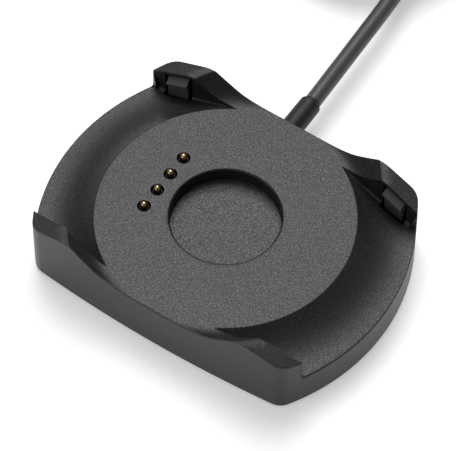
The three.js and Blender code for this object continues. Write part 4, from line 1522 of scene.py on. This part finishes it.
@dataclass
class Plug:
    """The plug on the lead's far end, and the tie round the coil."""

    y: float = 111.6
    z: float = 3.8
    boot_x: float = -21
    grip_x: float = -12
    grip_length: float = 24
    half_width: float = 7.8
    half_height: float = 3.7
    corner: float = 2.2
    end_round: float = 0.9
    grooves: int = 5
    groove_start: float = 5.0
    groove_pitch: float = 1.7
    groove_depth: float = 0.3
    ribs: int = 4
    rib_pitch: float = 1.9
    rib_growth: float = 0.13
    rib_height: float = 0.35

    def grip_ring(self, x: float, shrink: float) -> np.ndarray:
        """Lays one rounded rectangle across the grip.

        Args:
            x: its place along the plug.
            shrink: how far it is drawn in.

        Returns:
            Its points.
        """
        w, h = self.half_width - shrink, self.half_height - shrink
        r = max(0.3, min(self.corner - shrink * 0.5, h - 0.2))
        points = []
        for quarter, (sy, sz) in enumerate(((1, 1), (-1, 1), (-1, -1), (1, -1))):
            for k in range(9):
                turn = math.pi / 2 * (quarter + k / 8)
                points.append((x, self.y + sy * (w - r) + r * math.cos(turn),
                               self.z + sz * (h - r) + r * math.sin(turn)))
        return np.array(points)

    def grip(self) -> bpy.types.Object:
        """Builds the grip with its finger grooves and dresses it.

        Returns:
            The grip.
        """
        ends = rounding(self.end_round, 6)
        start, stop = self.grip_x, self.grip_x + self.grip_length
        rings = [self.grip_ring(start + down, self.end_round - out) for out, down in ends]
        for k in range(self.grooves):
            x = start + self.groove_start + self.groove_pitch * k
            for along, deep in ((0, 0), (0.25, self.groove_depth), (0.85, self.groove_depth), (1.1, 0)):
                rings.append(self.grip_ring(x + along, deep))
        rings += [self.grip_ring(stop - down, self.end_round - out) for out, down in reversed(ends)]
        piece = loft("plug_grip", rings)
        smooth(piece)
        dress(piece, Finishes.INNER_ABS)
        stand_for(piece, "dock", "plug_overmould")
        return piece

    def sleeve(self) -> bpy.types.Object:
        """Builds the ribbed sleeve that the lead goes into and dresses it.

        Returns:
            The sleeve.
        """
        profile = [(Boot.core, -Boot.core_length), (Boot.core, 0), (1.7, 0), (2.05, 0.2)]
        for k in range(self.ribs):
            at, radius = 1.2 + self.rib_pitch * k, 2.15 + self.rib_growth * k
            low = radius - self.rib_height
            profile += [(radius, at), (low, at + 0.15), (low, at + 0.65), (radius, at + 0.8)]
        profile += [(2.65, 8.7), (2.65, 8.9)]
        piece = turned("plug_sleeve", profile, (self.boot_x, self.y, self.z), Axis.X)
        smooth(piece)
        dress(piece, Finishes.BOOT_TPE)
        stand_for(piece, "dock", "plug_boot")
        return piece

    def build(self) -> list[bpy.types.Object]:
        """Builds the plug's soft parts, rounds off its metal, and dresses them all.

        Returns:
            The pieces and CAD nodes that go with the lead.
        """
        grip, sleeve = self.grip(), self.sleeve()
        shell = polished_copy("plug_shell", "plug_can", 0.1)
        dress(shell, Finishes.NICKEL)
        tie = polished_copy("coil_tie", "coil_strap", 0.2, 3)
        dress(tie, Finishes.NYLON_LOOP)
        paint_node("plug_tongue", Finishes.PBT)
        contacts = [f"plug_contact_{i}" for i in range(1, 5)]
        for node in contacts:
            paint_node(node, Finishes.GOLD)
        log.info("plug and coil tie")
        return [sleeve, grip, shell, tie, frame["nodes"]["plug_tongue"],
                *[frame["nodes"][n] for n in contacts]]


class Inside:
    """What the closed dock holds: the board, its parts and its wires."""

    NODES = {
        "pin_block": Finishes.INNER_ABS,
        "circuit_board": Finishes.SOLDER_MASK,
        "charge_chip": Finishes.EPOXY,
        "capacitor_1": Finishes.CERAMIC,
        "capacitor_2": Finishes.CERAMIC,
        "wire_red": Finishes.WIRE_RED,
        "wire_white": Finishes.WIRE_WHITE,
        "wire_green": Finishes.WIRE_GREEN,
        "wire_black": Finishes.WIRE_BLACK,
    }

    def build(self) -> None:
        """Dresses each inner piece."""
        for node, finish in self.NODES.items():
            paint_node(node, finish)
        log.info("inner parts dressed")


def main() -> None:
    """Builds the dock, piece by piece."""
    studio = Studio()
    studio.camera()
    lead = Lead()
    cord = lead.build()
    form = DockForm()
    deck = Deck(form)
    deck.build()
    Shell(form).build()
    LatchSet().build()
    ContactPins(deck).build()
    boot = Boot().build()
    Underside().build()
    on_lead = Plug().build()
    Inside().build()
    studio.build()


if __name__ == "__main__":
    main()
